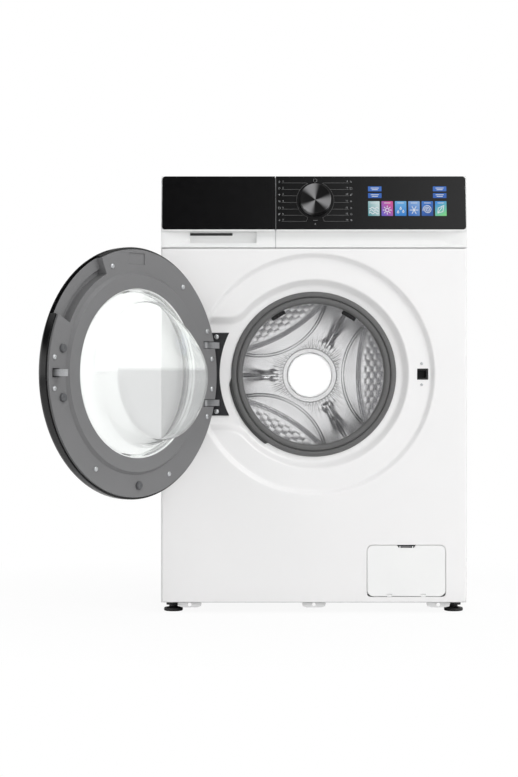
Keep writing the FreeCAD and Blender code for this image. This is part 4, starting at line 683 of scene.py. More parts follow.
def backRelief(x, z):
    p = drumBack
    r, t = math.hypot(x, z), math.atan2(z, x)
    u, v = inThird(r, t, 0)
    inner = p["innerArc"][1] - math.hypot(u - p["innerArc"][0], v)
    outer = math.hypot(u - p["outerArc"][0], v) - p["outerArc"][1]
    depth = min(inner, outer)
    bossTo, bossEdge, bossRise = p["boss"]
    rise = bossRise * ease((bossTo - r) / bossEdge)
    rise += sum(p["beadRise"] * math.exp(-((r - bead) / p["beadWide"]) ** 2) for bead in p["beads"])
    ribs = rampFrom(r, *p["ribIn"]) * (1 - rampFrom(r, *p["ribOut"])) * ease(-depth / p["ribClear"])
    rise += p["ribRise"] * ribs * math.cos(t * p["ribs"])
    tip = ease((p["crescentTip"][0] - abs(v)) / p["crescentTip"][1])
    rise += p["crescentRise"] * crescentRise(depth) * tip
    beyond = rampFrom(-outer, *p["cellsOff"]) * rampFrom(r, *p["cellsFrom"])
    rise += p["cellRise"] * beyond * hexPillow(u, v, p["cellMm"])
    return rise + fluteRise(*inThird(r, t, math.pi / 3))


def buildDrumBack():
    p, axis = drumBack, cabinet["axis"]
    bore, radius, face, rim, back = p["bore"], p["radius"], p["face"], p["rim"], p["rim"] + p["sheet"]
    reach = radius - p["pressedTo"] - bore
    count = int(reach / p["ringMm"])
    angles = around(p["spokes"])
    rings = [ringAt(bore, rim + 0.5, angles)]
    for i in range(count + 1):
        r = bore + reach * i / count
        fade = ease((radius - p["fade"][0] - r) / p["fade"][1])
        flat = [(r * math.cos(t), r * math.sin(t)) for t in angles]
        rings.append([(x, face - fade * backRelief(x, z), axis + z) for x, z in flat])
    edge = ((radius - 30, face), (radius - 28, face + 0.6), (radius - 20, rim - 0.6), (radius - 18, rim),
            (radius - 0.1, rim), (radius - 0.1, back), (radius - 30, back), (bore + 8, back))
    rings += turn(edge, p["spokes"])
    return addPiece("drumBackPressed", *joinRings(rings, True), "stainlessSheet", "drum", 60)


backPiece = buildDrumBack()
stands(backPiece, "drum_back")
print("drum back:", len(backPiece.data.polygons))

# Drum wall: embossed in the same honeycomb, with a rolled mouth
drumWall = {"radius": 239.0, "outer": 240.0, "front": -169.5, "back": 110.4, "mouth": 152.0, "spokes": 504,
            "stepMm": 3.4, "cellMm": 15.0, "cellRise": 1.6, "wallFrom": 18, "fadeRows": 4}


def buildDrumWall():
    p, axis = drumWall, cabinet["axis"]
    f, outer, mouth, radius, start = p["front"], p["outer"], p["mouth"], p["radius"], p["wallFrom"]
    lip = ((outer, p["back"]), (outer, f + start), (outer - 4, f + 9.5), (outer - 14, f + 4), (mouth + 3, f),
           (mouth + 1, f + 0.8), (mouth, f + 3), (mouth, f + 14), (mouth + 1, f + 14), (mouth + 1, f + 3.4),
           (mouth + 3.4, f + 1.2), (outer - 14.6, f + 5.2))
    rings = turn(lip, p["spokes"])
    length = p["back"] - f - start
    rows = int(length / p["stepMm"])
    cells = round(2 * math.pi * radius / p["cellMm"])
    pitch = 2 * math.pi * radius / cells
    for i in range(rows + 1):
        y = f + start + length * i / rows
        fade = ease(i / p["fadeRows"]) * ease((rows - i) / p["fadeRows"])
        ring = []
        for t in around(p["spokes"]):
            r = radius - fade * p["cellRise"] * hexPillow(t * pitch * cells / (2 * math.pi), y, pitch)
            ring.append((r * math.cos(t), y, axis + r * math.sin(t)))
        rings.append(ring)
    return addPiece("drumWallEmbossed", *joinRings(rings, True), "stainlessSheet", "drum", 60)


wallPiece = buildDrumWall()
stands(wallPiece, "drum_shell")
print("drum wall:", len(wallPiece.data.polygons))


# Points with a facing direction, and a small part set on each of them by Geometry Nodes
def setOnPoints(name, part, sites, finish, body, size=1.0):
    cloud = bpy.data.meshes.new(name + "Sites")
    cloud.from_pydata([Vector(p) * mm for p, way in sites], [], [])
    facing = cloud.attributes.new("facing", "FLOAT_VECTOR", "POINT")
    for i, (p, way) in enumerate(sites):
        facing.data[i].vector = way
    holder = newObject(name, cloud)
    tree = bpy.data.node_groups.new(name + "Tree", "GeometryNodeTree")
    sockets = {}
    for label, side, kind in (("Geometry", "INPUT", "Geometry"), ("Part", "INPUT", "Object"),
                              ("Size", "INPUT", "Float"), ("Finish", "INPUT", "Material"),
                              ("Geometry", "OUTPUT", "Geometry")):
        sockets[label] = tree.interface.new_socket(label, in_out=side, socket_type="NodeSocket" + kind)
    start = addNode(tree, "NodeGroupInput")
    info = addNode(tree, "GeometryNodeObjectInfo", None, {"Object": start.outputs["Part"]})
    way = addNode(tree, "GeometryNodeInputNamedAttribute", {"data_type": "FLOAT_VECTOR"}, {"Name": "facing"})
    align = addNode(tree, "FunctionNodeAlignRotationToVector", {"axis": "Z"}, {"Vector": way.outputs[0]})
    placed = addNode(tree, "GeometryNodeInstanceOnPoints", None, {
        "Points": start.outputs["Geometry"], "Instance": info.outputs["Geometry"],
        "Rotation": align.outputs["Rotation"], "Scale": start.outputs["Size"]})
    real = addNode(tree, "GeometryNodeRealizeInstances", None, {"Geometry": placed.outputs["Instances"]})
    painted = addNode(tree, "GeometryNodeSetMaterial", None, {
        "Geometry": real.outputs["Geometry"], "Material": start.outputs["Finish"]})
    addNode(tree, "NodeGroupOutput", None, {"Geometry": painted.outputs["Geometry"]})
    spread = holder.modifiers.new("spread", "NODES")
    spread.node_group = tree
    for label, value in (("Part", part), ("Size", size), ("Finish", finishes[finish])):
        spread[sockets[label].identifier] = value
    mesh = evaluatedMesh(holder)
    holder.modifiers.remove(spread)
    bpy.data.objects.remove(holder)
    return placePiece(name, mesh, finish, body, 40)


# Drum perforations: small dished holes on every second cell of the wall, left out where the lifters stand;
# each is a black cup, painted shade for the dark inside the hole
perforation = {"rows": ((1.7, -0.25), (1.7, 0.12), (1.7 * 0.72, 0.2)), "sides": 8, "pitch": 30.0,
               "lines": 8, "from": -132.0, "to": 92.0, "lifters": (60, 180, 300), "clear": 11, "sunk": 0.6}


def perforationSites():
    p = perforation
    sites = []
    count = int(2 * math.pi * drumWall["radius"] / p["pitch"])
    r = drumWall["radius"] - drumWall["cellRise"] * p["sunk"]
    for i in range(p["lines"]):
        y = p["from"] + (p["to"] - p["from"]) * i / (p["lines"] - 1)
        for j in range(count):
            t = 2 * math.pi * (j + 0.5 * (i % 2)) / count
            if min(abs((math.degrees(t) - a + 180) % 360 - 180) for a in p["lifters"]) >= p["clear"]:
                sites.append((ringAt(r, y, (t,))[0], (-math.cos(t), 0, -math.sin(t))))
    return sites


cup = loosePart("holeCup", *joinLidded(upright(perforation["rows"], 0, 0, perforation["sides"])))
holesPiece = setOnPoints("drumPerforations", cup, perforationSites(), "blackNylon", "drum")
bpy.data.objects.remove(cup)
print("drum perforations:", len(holesPiece.data.polygons))

# Pan-head screws with a cross recess
screwHead = {"radius": 4.8, "height": 2.6, "cross": 1.7, "slot": 0.45, "deep": 0.6, "steps": 32,
             "crown": ((0.96, 0.5), (0.8, 0.82), (0.62, 0.95)), "arms": 6, "taper": 0.8}


def screwPart():
    s = screwHead
    radius, height = s["radius"], s["height"]
    rows = [(radius, -0.2), (radius, 0.35)] + [(radius * a, height * b) for a, b in s["crown"]]
    rings = upright(rows, 0, 0, s["steps"])
    recess = []
    for t in around(s["steps"]):  # the recess narrows from the round crown to a cross
        armed = abs(math.cos(2 * t)) ** s["arms"]
        recess.append((s["slot"] + (s["cross"] - s["slot"]) * armed, t))
    rings.append([(r * math.cos(t), r * math.sin(t), height) for r, t in recess])
    floor = height - s["deep"]
    rings.append([(r * s["taper"] * math.cos(t), r * s["taper"] * math.sin(t), floor) for r, t in recess])
    return loosePart("screwPart", *joinLidded(rings))


doorScrews = ((-215, 29), (-215, -29), (-201, 82), (-201, -82), (216, 28), (216, -28), (66, 196),
              (-130, 165), (110, -174), (-90, -189))
doorFace = cabinet["front"] + 4
lockScrews = ((210.0, -237.5, 443.5), (210.0, -237.5, 484.5))
hingeScrews = ((-190.0, -223.5, 391.0), (-190.0, -223.5, 537.0))
rearScrews = {"x": 280.7, "low": 93.8, "high": 797.0, "count": 4, "y": 247.5}
forwards, backwards = (0, -1, 0), (0, 1, 0)


def doorSites(points):
    return [(p, doorSwing @ Vector(backwards)) for p in swingOpen(points)]


screw = screwPart()
doorScrewSites = doorSites([(x, doorFace, cabinet["axis"] + z) for x, z in doorScrews])
stands(setOnPoints("doorScrewHeads", screw, doorScrewSites, "brightZinc", "door"), "door_screws")
lockSites = [(p, forwards) for p in lockScrews]
lockScrewPiece = setOnPoints("lockScrewHeads", screw, lockSites, "brightZinc", "cabinet", 0.6)
cabinetSites = [(p, forwards) for p in hingeScrews]
for side in (-1, 1):
    for i in range(rearScrews["count"]):
        z = rearScrews["low"] + (rearScrews["high"] - rearScrews["low"]) * i / (rearScrews["count"] - 1)
        cabinetSites.append(((side * rearScrews["x"], rearScrews["y"], z), backwards))
stands(setOnPoints("cabinetScrewHeads", screw, cabinetSites, "brightZinc", "cabinet"), "cabinet_screws")
bpy.data.objects.remove(screw)
print("screws set:", len(doorScrewSites) + len(lockSites) + len(cabinetSites))

# Glass bowl: a round collar whose wall ends in a flat face below and a slanted one above
bowl = {"flange": 165.0, "flangeY": (-6, -2), "rim": 154.6, "root": 135.0, "tip": 124.0, "rootY": 26.0,
        "endY": 79.0, "kneeZ": 10.0, "kneeBlend": 9.0, "crownZ": 135.0, "crownY": 26.0, "wall": 4.0,
        "round": 13.0, "steps": 180, "wallRows": 5, "bendRows": 8, "endRows": 14}


def bowlCap(z, end):
    b = bowl
    fall = (b["endY"] - b["crownY"]) * (z - b["kneeZ"]) / (b["crownZ"] - b["kneeZ"])
    slope = b["endY"] - fall - (b["endY"] - end)
    return softMin(end, slope, b["kneeBlend"])


def bowlColumn(t, inset):
    b = bowl
    uz = math.sin(t)
    end, bend = b["endY"] - inset, b["round"] - inset
    radius = b["tip"] - inset
    for _ in range(6):  # settle the wall's radius where it meets the end
        top = bowlCap((radius - bend) * uz, end)
        share = clamp((top - b["rootY"]) / (b["endY"] - b["rootY"]))
        radius = b["root"] + (b["tip"] - b["root"]) * share - inset
    core = radius - bend
    rootR, rimR, rootY = b["root"] - inset, b["rim"] - inset, b["rootY"] - inset * 0.4
    low = max(top - bend, b["rootY"] + 1)
    column = [(rimR, 9.0 - inset), (rimR - 2, 11.5 - inset), (rimR - 9, 15.0 - inset),
              (rootR + 4, 20.5 - inset * 0.7), (rootR, rootY)]
    for i in range(1, b["wallRows"] + 1):
        share = i / b["wallRows"]
        column.append((rootR + (radius - rootR) * share, rootY + (low - rootY) * share))
    for i in range(1, b["bendRows"] + 1):
        q = math.radians(90 * i / b["bendRows"])
        column.append((core + bend * math.cos(q), low + (top - low) * math.sin(q)))
    for i in range(1, b["endRows"]):
        r = core * (1 - i / b["endRows"])
        column.append((r, bowlCap(r * uz, end)))
    return [ringAt(r, cabinet["front"] + y, (t,))[0] for r, y in column]


def bowlSkin(inset):
    columns = [bowlColumn(t, inset) for t in around(bowl["steps"])]
    return list(zip(*columns)), (0.0, cabinet["front"] + bowlCap(0.0, bowl["endY"] - inset), cabinet["axis"])


def buildBowl():
    b = bowl
    outer, outerTip = bowlSkin(0)
    inner, innerTip = bowlSkin(b["wall"])
    y0, y1 = [cabinet["front"] + y for y in b["flangeY"]]
    collar = ((b["rim"] - b["wall"], y0), (b["flange"], y0), (b["flange"], y1), (b["rim"], y1))
    verts, faces = joinRings(inner[::-1] + turn(collar, b["steps"]) + outer, False)
    n = b["steps"]
    verts += [innerTip, outerTip]
    last = len(verts)
    for j in range(n):
        faces.append((last - 2, j, (j + 1) % n))
        faces.append((last - 1, last - 2 - n + j, last - 2 - n + (j + 1) % n))
    return addPiece("glassBowl", swingOpen(verts), faces, "pressedGlass", "door", 70)


bowlPiece = buildBowl()
bowlPiece.visible_shadow = False
stands(bowlPiece, "door_glass")
print("glass bowl:", len(bowlPiece.data.polygons))

# Programme dial: spun cap with a fluted rim
dial = {"centre": (2.5, -240.7286, 802.0), "normal": (0.0, -0.985622, 0.168964),
        "up": (0.0, 0.168964, 0.985622), "flutes": 90, "fluteMm": 0.22, "fluted": (2.5, 12),
        "profile": ((0.0, 0.5), (29.4, 0.5), (30.6, 1.2), (30.6, 3.0), (30.5, 13.6), (30.3, 14.8),
                    (29.9, 15.5), (29.3, 15.8), (28.8, 15.7), (18.0, 15.3), (9.0, 15.1), (0.0, 15.0))}
panelRight, panelUp, panelOut = Vector((1, 0, 0)), Vector(dial["up"]), Vector(dial["normal"])


def buildDial():
    d = dial
    rings = []
    for r, w in d["profile"]:
        deep = d["fluteMm"] if d["fluted"][0] < w < d["fluted"][1] else 0
        ring = []
        for t in around(d["flutes"] * 4):
            cut = deep * (0.5 - 0.5 * math.cos(t * d["flutes"]))
            across, up = (r - cut) * math.cos(t), (r - cut) * math.sin(t)
            ring.append(Vector(d["centre"]) + panelRight * across + panelUp * up + panelOut * w)
        rings.append(ring)
    return addPiece("dialCap", *joinRings(rings, False), "spunDarkChrome", "dial", 40)


dialPiece = buildDial()
stands(dialPiece, "program_dial")
print("dial:", len(dialPiece.data.polygons))

# Panel print: leader lines, a split ring round the dial, plain numbers and simple signs
panelPrint = {"lift": (0.01, 0.13), "line": 0.6, "ring": 36.4, "ringSpan": 67, "ringShare": 0.9,
              "elbow": 3.4, "left": -62.8, "right": 67.8,
              "heights": (836.9, 824.0, 811.4, 798.2, 785.0, 773.0, 761.0), "numberMm": 3.4,
              "numberIn": 1.5, "numberUp": 1.6, "numberLift": 0.07, "zeroZ": 754.2, "signX": (-67.4, 72.4),
              "signUp": 2.2, "signLine": 0.45, "signHalf": 1.9}
panelFace = {"lowY": -250.5, "lean": 18.0, "lowZ": 745.0, "tall": 105.0}


def onPanel(x, z, lift):
    y = panelFace["lowY"] + panelFace["lean"] * (z - panelFace["lowZ"]) / panelFace["tall"]
    return Vector((x, y, z)) + panelOut * lift


def prism(verts, faces, outline, low, high):
    first, n = len(verts), len(outline)
    verts += [onPanel(x, z, low) for x, z in outline] + [onPanel(x, z, high) for x, z in outline]
    faces.append(tuple(range(first, first + n)))
    faces.append(tuple(range(first + n, first + 2 * n)))
    faces += [(first + i, first + (i + 1) % n, first + n + (i + 1) % n, first + n + i) for i in range(n)]


def stroke(verts, faces, path, width, low, high):
    for (x0, z0), (x1, z1) in zip(path, path[1:]):
        length = math.hypot(x1 - x0, z1 - z0)
        sx, sz = (z1 - z0) / length * width / 2, -(x1 - x0) / length * width / 2
        ex, ez = (x1 - x0) / length * width * 0.3, (z1 - z0) / length * width * 0.3
        prism(verts, faces, [(x0 + sx - ex, z0 + sz - ez), (x1 + sx + ex, z1 + sz + ez),
                             (x1 - sx + ex, z1 - sz + ez), (x0 - sx - ex, z0 - sz - ez)], low, high)


def ringPath(x, z, r, start, end, steps):
    angles = [math.radians(start + (end - start) * i / steps) for i in range(steps + 1)]
    return [(x + r * math.cos(t), z + r * math.sin(t)) for t in angles]


# Three strokes through one point
def starPaths(x, z, r):
    arms = [(r * math.cos(a), r * math.sin(a)) for a in (0.0, 1.05, 2.09)]
    return [[(x - dx, z - dz), (x + dx, z + dz)] for dx, dz in arms]


# Plain signs about 4 mm tall: drop, ring, star, waves, square, leaf and cross
def signPaths(kind, x, z):
    s = panelPrint["signHalf"]
    if kind == 1:
        return [ringPath(x, z, s * 0.9, 0, 360, 12)]
    if kind == 2:
        return starPaths(x, z, s)
    if kind == 3:
        return [[(x - s, z + d), (x - s * 0.3, z + d + 0.8), (x + s * 0.3, z + d - 0.8), (x + s, z + d)]
                for d in (-0.9, 0.9)]
    drawn = {0: [[(0, 1), (0.8, -0.2), (0, -1), (-0.8, -0.2), (0, 1)]],
             4: [[(-1, -1), (1, -1), (1, 1), (-1, 1), (-1, -1)]],
             5: [[(-1, -1), (-0.4, 0.6), (1, 1), (0.4, -0.6), (-1, -1)], [(-1, -1), (0.5, 0.5)]],
             6: [[(-1, 0), (1, 0)], [(0, -1), (0, 1)]]}
    return [[(x + s * a, z + s * b) for a, b in path] for path in drawn[kind]]


def numberMesh(text, x, z, alignment):
    curve = bpy.data.curves.new("number", "FONT")
    curve.body = text
    curve.size = panelPrint["numberMm"] * mm / 0.72  # a figure is this share of the font's size
    curve.align_x = alignment
    curve.extrude = 0.05 * mm
    curve.resolution_u = 3
    holder = newObject("number", curve)
    mesh = evaluatedMesh(holder)
    bpy.data.objects.remove(holder)
    place = Matrix((panelRight, panelUp, panelOut)).transposed().to_4x4()
    place.translation = onPanel(x, z, panelPrint["numberLift"]) * mm
    mesh.transform(place)
    return mesh


def buildLines():
    p = panelPrint
    marks = [], []
    cx, cz, span = dial["centre"][0], dial["centre"][2], math.radians(p["ringSpan"])
    for base in (0, 180):
        path = ringPath(cx, cz, p["ring"], base - p["ringSpan"], base + p["ringSpan"], 48)
        stroke(*marks, path, p["line"] * p["ringShare"], *p["lift"])
    for i, z in enumerate(p["heights"]):
        for side, end in ((-1, p["left"]), (1, p["right"])):
            path = [(end, z), (cx + side * math.sqrt(max(p["ring"] ** 2 - (z - cz) ** 2, 0)), z)]
            if i in (0, len(p["heights"]) - 1):  # the outermost lines bend to the ring's ends
                way = -1 if i else 1
                join = (cx + side * p["ring"] * math.cos(span), cz + way * p["ring"] * math.sin(span))
                path = [(end, z), (join[0] + side * p["elbow"], z), join]
            stroke(*marks, path, p["line"], *p["lift"])
    return addPiece("panelLines", *marks, "dimInk", "cabinet", 30)


def buildSigns():
    p = panelPrint
    marks = [], []
    cx = dial["centre"][0]
    for i, z in enumerate(p["heights"]):
        for side, x in enumerate(p["signX"]):
            for path in signPaths((i + 3 * side) % 7, x, z + p["signUp"]):
                stroke(*marks, path, p["signLine"], *p["lift"])
    stroke(*marks, ringPath(cx, 841.8, 3.4, 120, 420, 20), 0.5, *p["lift"])  # power sign, and a dash for off
    stroke(*marks, [(cx, 843.0), (cx, 846.2)], 0.5, *p["lift"])
    stroke(*marks, [(cx - 4, 763.0), (cx + 4, 763.0)], 0.6, *p["lift"])
    piece = addPiece("panelSigns", *marks, "greyInk", "cabinet", 30)
    shape = bmesh.new()
    shape.from_mesh(piece.data)
    for i, z in enumerate(p["heights"]):
        for text, x, alignment in ((str(i + 1), p["left"] + p["numberIn"], "LEFT"),
                                   (str(i + 8), p["right"] - p["numberIn"], "RIGHT")):
            shape.from_mesh(numberMesh(text, x, z + p["numberUp"], alignment))
    shape.from_mesh(numberMesh("0", cx, p["zeroZ"], "CENTER"))
    shape.to_mesh(piece.data)
    shape.free()
    return piece


for printPiece in (buildLines(), buildSigns()):
    print("panel print:", len(printPiece.data.polygons))

# Display: six lit tiles and four tags, each with plain shapes of its own
screen = {"left": 105.4, "pitch": 26.05, "tile": (22.3, 29.0), "tileZ": 786.2, "tagX": (118.6, 245.0),
          "tagZ": (825.1, 811.8), "tag": (26.2, 9.6), "tagMiddle": (180, 818), "lift": (0.01, 0.12),
          "markLift": (0.12, 0.2), "tagRows": ((1.6, 7.5), (-1.6, 5.5)), "runsOver": 1000 / 36,
          "tiles": (("#5F9FA6", "#CFE4E6", 30), ("#6E62C8", "#D8559B", 40), ("#2E7FD0", "#6CB2E8", 90),
                    ("#3C74C6", "#86AEE2", 60), ("#25509E", "#3F79CC", 120), ("#3C8FE0", "#7FD88C", -60))}


# Lit liquid-crystal tile: one colour runs into the other across it
def litTile(name, first, second, degrees, x, z):
    material, tree, shader, place = newMaterial(name, {
        "Base Color": toLinear("#101214"), "Roughness": 0.2, "Emission Strength": 0.85})
    centred = movedPlace(tree, place, Location=(-x * mm, 0.0, -z * mm))
    turned = movedPlace(tree, centred, Rotation=(0.0, math.radians(degrees), 0.0),
                        Scale=[1000 / screen["runsOver"]] * 3)
    share = mathOf(tree, "ADD", splitOf(tree, turned)["X"], 0.5)
    feed(shader, {"Emission Color": rampOf(tree, share, first, second)})
    return material


# White of the display's marks: lit, with a faint haze
def whiteGlow():
    material, tree, shader, place = newMaterial("tileWhite", {
        "Roughness": 0.3, "Emission Strength": 0.75, "Base Color": toLinear("#20242A")})
    feed(shader, {"Emission Color": tintOf(tree, noiseOf(tree, place, 7), "#DDE8F2", "#FFFFFF")})
    return material


def tileMotif(kind, x, z):
    if kind == 0:  # three rolling waves
        return [[(x - 9 + i * 1.5, z - 9 + d + 1.6 * math.sin(i * 1.05 + d)) for i in range(13)]
                for d in (0, 5, 10)], 1.5
    if kind == 1:  # sun disc with rays
        ways = [(math.cos(i * math.pi / 4), math.sin(i * math.pi / 4)) for i in range(8)]
        rays = [[(x + r * a, z - 3 + r * b) for r in (5.5, 8.2)] for a, b in ways]
        return [ringPath(x, z - 3, 3.4, 0, 360, 18)] + rays, 1.4
    if kind == 2:  # falling drops
        drop = ((0, 3.2), (1.7, -0.6), (0, -2.2), (-1.7, -0.6), (0, 3.2))
        return [[(x + dx + a, z + dz + b) for a, b in drop] for dx, dz in ((-5, -7), (0, 0), (5, -6))], 1.1
    if kind == 3:  # frost star
        return starPaths(x, z - 3, 8), 1.3
    if kind == 4:  # spiral
        return [[(x + (1 + i * 0.27) * math.cos(i * 0.55), z - 2 + (1 + i * 0.27) * math.sin(i * 0.55))
                 for i in range(30)]], 1.2
    leaf = (((-6, -9), (-5, 1), (6, 6), (4, -6), (-6, -9)), ((-6, -9), (3, 3)))
    return [[(x + a, z + b) for a, b in path] for path in leaf], 1.3


def buildScreen():
    s = screen
    finishes["tileWhite"] = whiteGlow()
    marks = ([], [])
    for i, (first, second, degrees) in enumerate(s["tiles"]):
        x, z = s["left"] + s["tile"][0] / 2 + i * s["pitch"], s["tileZ"]
        finishes["tile%d" % i] = litTile("litTile%d" % i, first, second, degrees, x, z)
        verts, faces = [], []
        prism(verts, faces, roundedRect(x, z, *s["tile"], 0.8, 3), *s["lift"])
        addPiece("displayTile%d" % i, verts, faces, "tile%d" % i, "cabinet", 30)
        paths, width = tileMotif(i, x, z)
        for path in paths:
            stroke(*marks, path, width, *s["markLift"])
        stroke(*marks, [(x - 6, z + 11), (x + 6, z + 11)], 1.1, *s["markLift"])
    finishes["tagBlue"] = litTile("litTag", "#2E5FB4", "#3F73C8", 90, *s["tagMiddle"])
    verts, faces = [], []
    for x in s["tagX"]:
        for z in s["tagZ"]:
            prism(verts, faces, roundedRect(x, z, *s["tag"], 0.6, 3), *s["lift"])
            for dz, half in s["tagRows"]:
                stroke(*marks, [(x - half, z + dz), (x + half, z + dz)], 1.2, *s["markLift"])
    addPiece("displayTags", verts, faces, "tagBlue", "cabinet", 30)
    addPiece("displayMarks", *marks, "tileWhite", "cabinet", 30)


buildScreen()
print("display built")

# Grey strip in the seam between drawer and panel: painted shade of the gap
seamStrip = {"x": (-74.5, -73.85), "z": (745.5, 849.5), "depths": (-0.2, -2.4)}


def buildSeamStrip():
    s = seamStrip
    verts = [onPanel(x, z, depth) for z in s["z"] for x in s["x"] for depth in s["depths"]]
    faces = [(0, 1, 3, 2), (4, 5, 7, 6), (0, 2, 6, 4), (1, 3, 7, 5), (0, 1, 5, 4), (2, 3, 7, 6)]
    return addPiece("seamStrip", verts, faces, "seamGrey", "cabinet")


# Moulding behind the same seam lower down, following the finger hollow; its pale grey is painted shade of the
# gap
seamFoot = {"x": (-75.4, -73.95), "from": 710.6, "low": 714.0, "high": 743.0, "to": 745.2, "deep": 12.0,
            "behind": 0.3, "thick": 4.0, "steps": 12, "curve": 1.4, "step": (1.5, 0.6)}


def buildSeamFoot():
    s, front = seamFoot, cabinet["front"]
    line = [(0.0, s["from"]), (0.0, s["low"])]
    for i in range(1, s["steps"] + 1):
        share = i / s["steps"]
        line.append((s["deep"] * math.sin(share * math.pi / 2),
                     s["low"] + (s["high"] - s["low"]) * share ** s["curve"]))
    line += [(s["step"][0], s["high"] + s["step"][1]), (s["step"][0], s["to"])]
    outline = [(front + s["behind"] + y, z) for y, z in line]
    outline += [(front + s["deep"] + s["thick"], z) for z in (s["to"], s["from"])]
    return barAcross("seamFoot", outline, s["x"], "seamPale", "cabinet")


buildSeamStrip()
buildSeamFoot()

# A black plate along the back of the drawer's grip, as painted shadow in its slot, and the flap's snap tongue
# in its pry notch
gripSlot = {"x": -200.1, "z": 737.0, "width": 82.8, "height": 5.0, "y": (-228.4, -227.6), "corner": 0.9,
            "steps": 4}
flapTongue = {"x": 179.5, "z": 127.8, "width": 20.2, "height": 3.0, "y": (-245.6, -244.5), "corner": 0.9,
              "steps": 4}
roundedPlate("gripSlot", gripSlot, "blackNylon", "drawer")
roundedPlate("flapTongue", flapTongue, "satinGreyAbs", "flap")

# Sloped ends and ribs in the flap's notch, and the white lips over its two hinge eyes
notchEnds = {"x": 179.5, "y": (-247.2, -245.2), "slope": ((17.6, 125.9), (17.6, 130.4), (14.3, 125.9)),
             "rib": ((13.4, 125.9), (13.4, 129.2), (11.4, 129.2), (11.4, 125.9))}
for side, label in ((-1, "Left"), (1, "Right")):
    for form in ("slope", "rib"):
        outline = [(notchEnds["x"] + side * a, z) for a, z in notchEnds[form]]
        name = "notch" + form.capitalize() + label
        flatPlate(name, outline, *notchEnds["y"], "mouldedWhiteAbs", "flap")
eyeLip = {"z": 31.7, "width": 8.8, "height": 1.5, "y": (-248.0, -246.7), "corner": 0.4, "steps": 3}
for x, label in ((146.5, "Left"), (212.5, "Right")):
    roundedPlate("eyeLip" + label, eyeLip | {"x": x}, "mouldedWhiteAbs", "cabinet")

# Flange of the filter bay: it lies behind the flap's gap, so the gap reads as a pale line but for its bottom
bayFlange = {"x": 179.5, "outer": (80.5, 135.5, 12.0), "inner": (71.5, 126.6, 8.0), "low": 36.5,
             "y": (-243.9, -235.7)}


def bayArch(half, top, bend):
    points = [(-half, bayFlange["low"])]
    for middle, start in ((bend - half, 180), (half - bend, 90)):
        points += ringPath(middle, top - bend, bend, start, start - 90, 8)
    return [(bayFlange["x"] + x, z) for x, z in points + [(half, bayFlange["low"])]]


def buildBayFlange():
    outer, inner = bayArch(*bayFlange["outer"]), bayArch(*bayFlange["inner"])
    y0, y1 = bayFlange["y"]
    sides = ((outer, y0), (outer, y1), (inner, y1), (inner, y0))
    loops = [[(x, y, z) for x, z in loop] for loop, y in sides]
    return addPiece("bayFlange", *joinLidded(list(zip(*loops))), "mouldedWhiteAbs", "cabinet")


buildBayFlange()

# Dark plate in the flange behind the notch: painted shade of the notch's hollow
notchShade = {"x": 179.5, "z": 128.6, "width": 38.0, "height": 8.6, "y": (-244.25, -243.95), "corner": 1.0,
              "steps": 4}
roundedPlate("notchShade", notchShade, "blackNylon", "cabinet")

# White lip under the black lens, in front of the scoop's upper edge
lensLip = {"outline": ((-247.55, 744.95), (-250.0, 744.95), (-250.3, 744.7), (-250.3, 742.2),
                       (-250.0, 741.8), (-247.55, 741.8)), "inset": 1.2}
for name, node, body in (("lensLipDrawer", "drawer_front", "drawer"),
                         ("lensLipPanel", "control_fascia", "cabinet")):
    lo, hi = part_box(node)
    ends = (lo.x / mm + lensLip["inset"], hi.x / mm - lensLip["inset"])
    barAcross(name, lensLip["outline"], ends, "mouldedWhiteAbs", body)
print("front trim built")


def pieceName(node):
    words = node.split("_")
    return words[0] + "".join(w.capitalize() for w in words[1:])


# Levelling feet: a soft-edged disc, a waist and a six-sided collar, with the screw above
levelFoot = {"nodes": ("foot_front_left", "foot_front_right", "foot_rear_left", "foot_rear_right"),
             "steps": 72,
             "disc": ((15.8, 0.0), (17.6, 0.5), (18.5, 1.8), (18.5, 5.0), (18.0, 6.2), (16.6, 7.0),
                      (11.5, 7.7), (9.0, 8.5), (8.2, 9.7), (8.2, 11.4)),
             "collar": ((12.8, 12.2), (13.4, 12.8), (13.4, 17.0), (12.8, 17.6)),
             "neck": ((9.4, 17.8), (9.4, 20.6), (4.9, 20.6)), "screw": 4.9}


def buildFoot(node):
    f = levelFoot
    lo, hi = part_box(node)
    x, y = (lo.x + hi.x) / 2 / mm, (lo.y + hi.y) / 2 / mm
    rings = upright(f["disc"], x, y, f["steps"])
    side = math.pi / 3
    for flat, z in f["collar"]:
        ring = []
        for t in around(f["steps"]):
            r = flat / math.cos((t + side / 2) % side - side / 2)
            ring.append((x + r * math.cos(t), y + r * math.sin(t), z))
        rings.append(ring)
    rings += upright(f["neck"] + ((f["screw"], hi.z / mm),), x, y, f["steps"])
    return stands(addPiece(pieceName(node), *joinLidded(rings), "blackNylon", bodyOfNode[node], 34), node)


for node in levelFoot["nodes"]:
    buildFoot(node)
print("feet built")

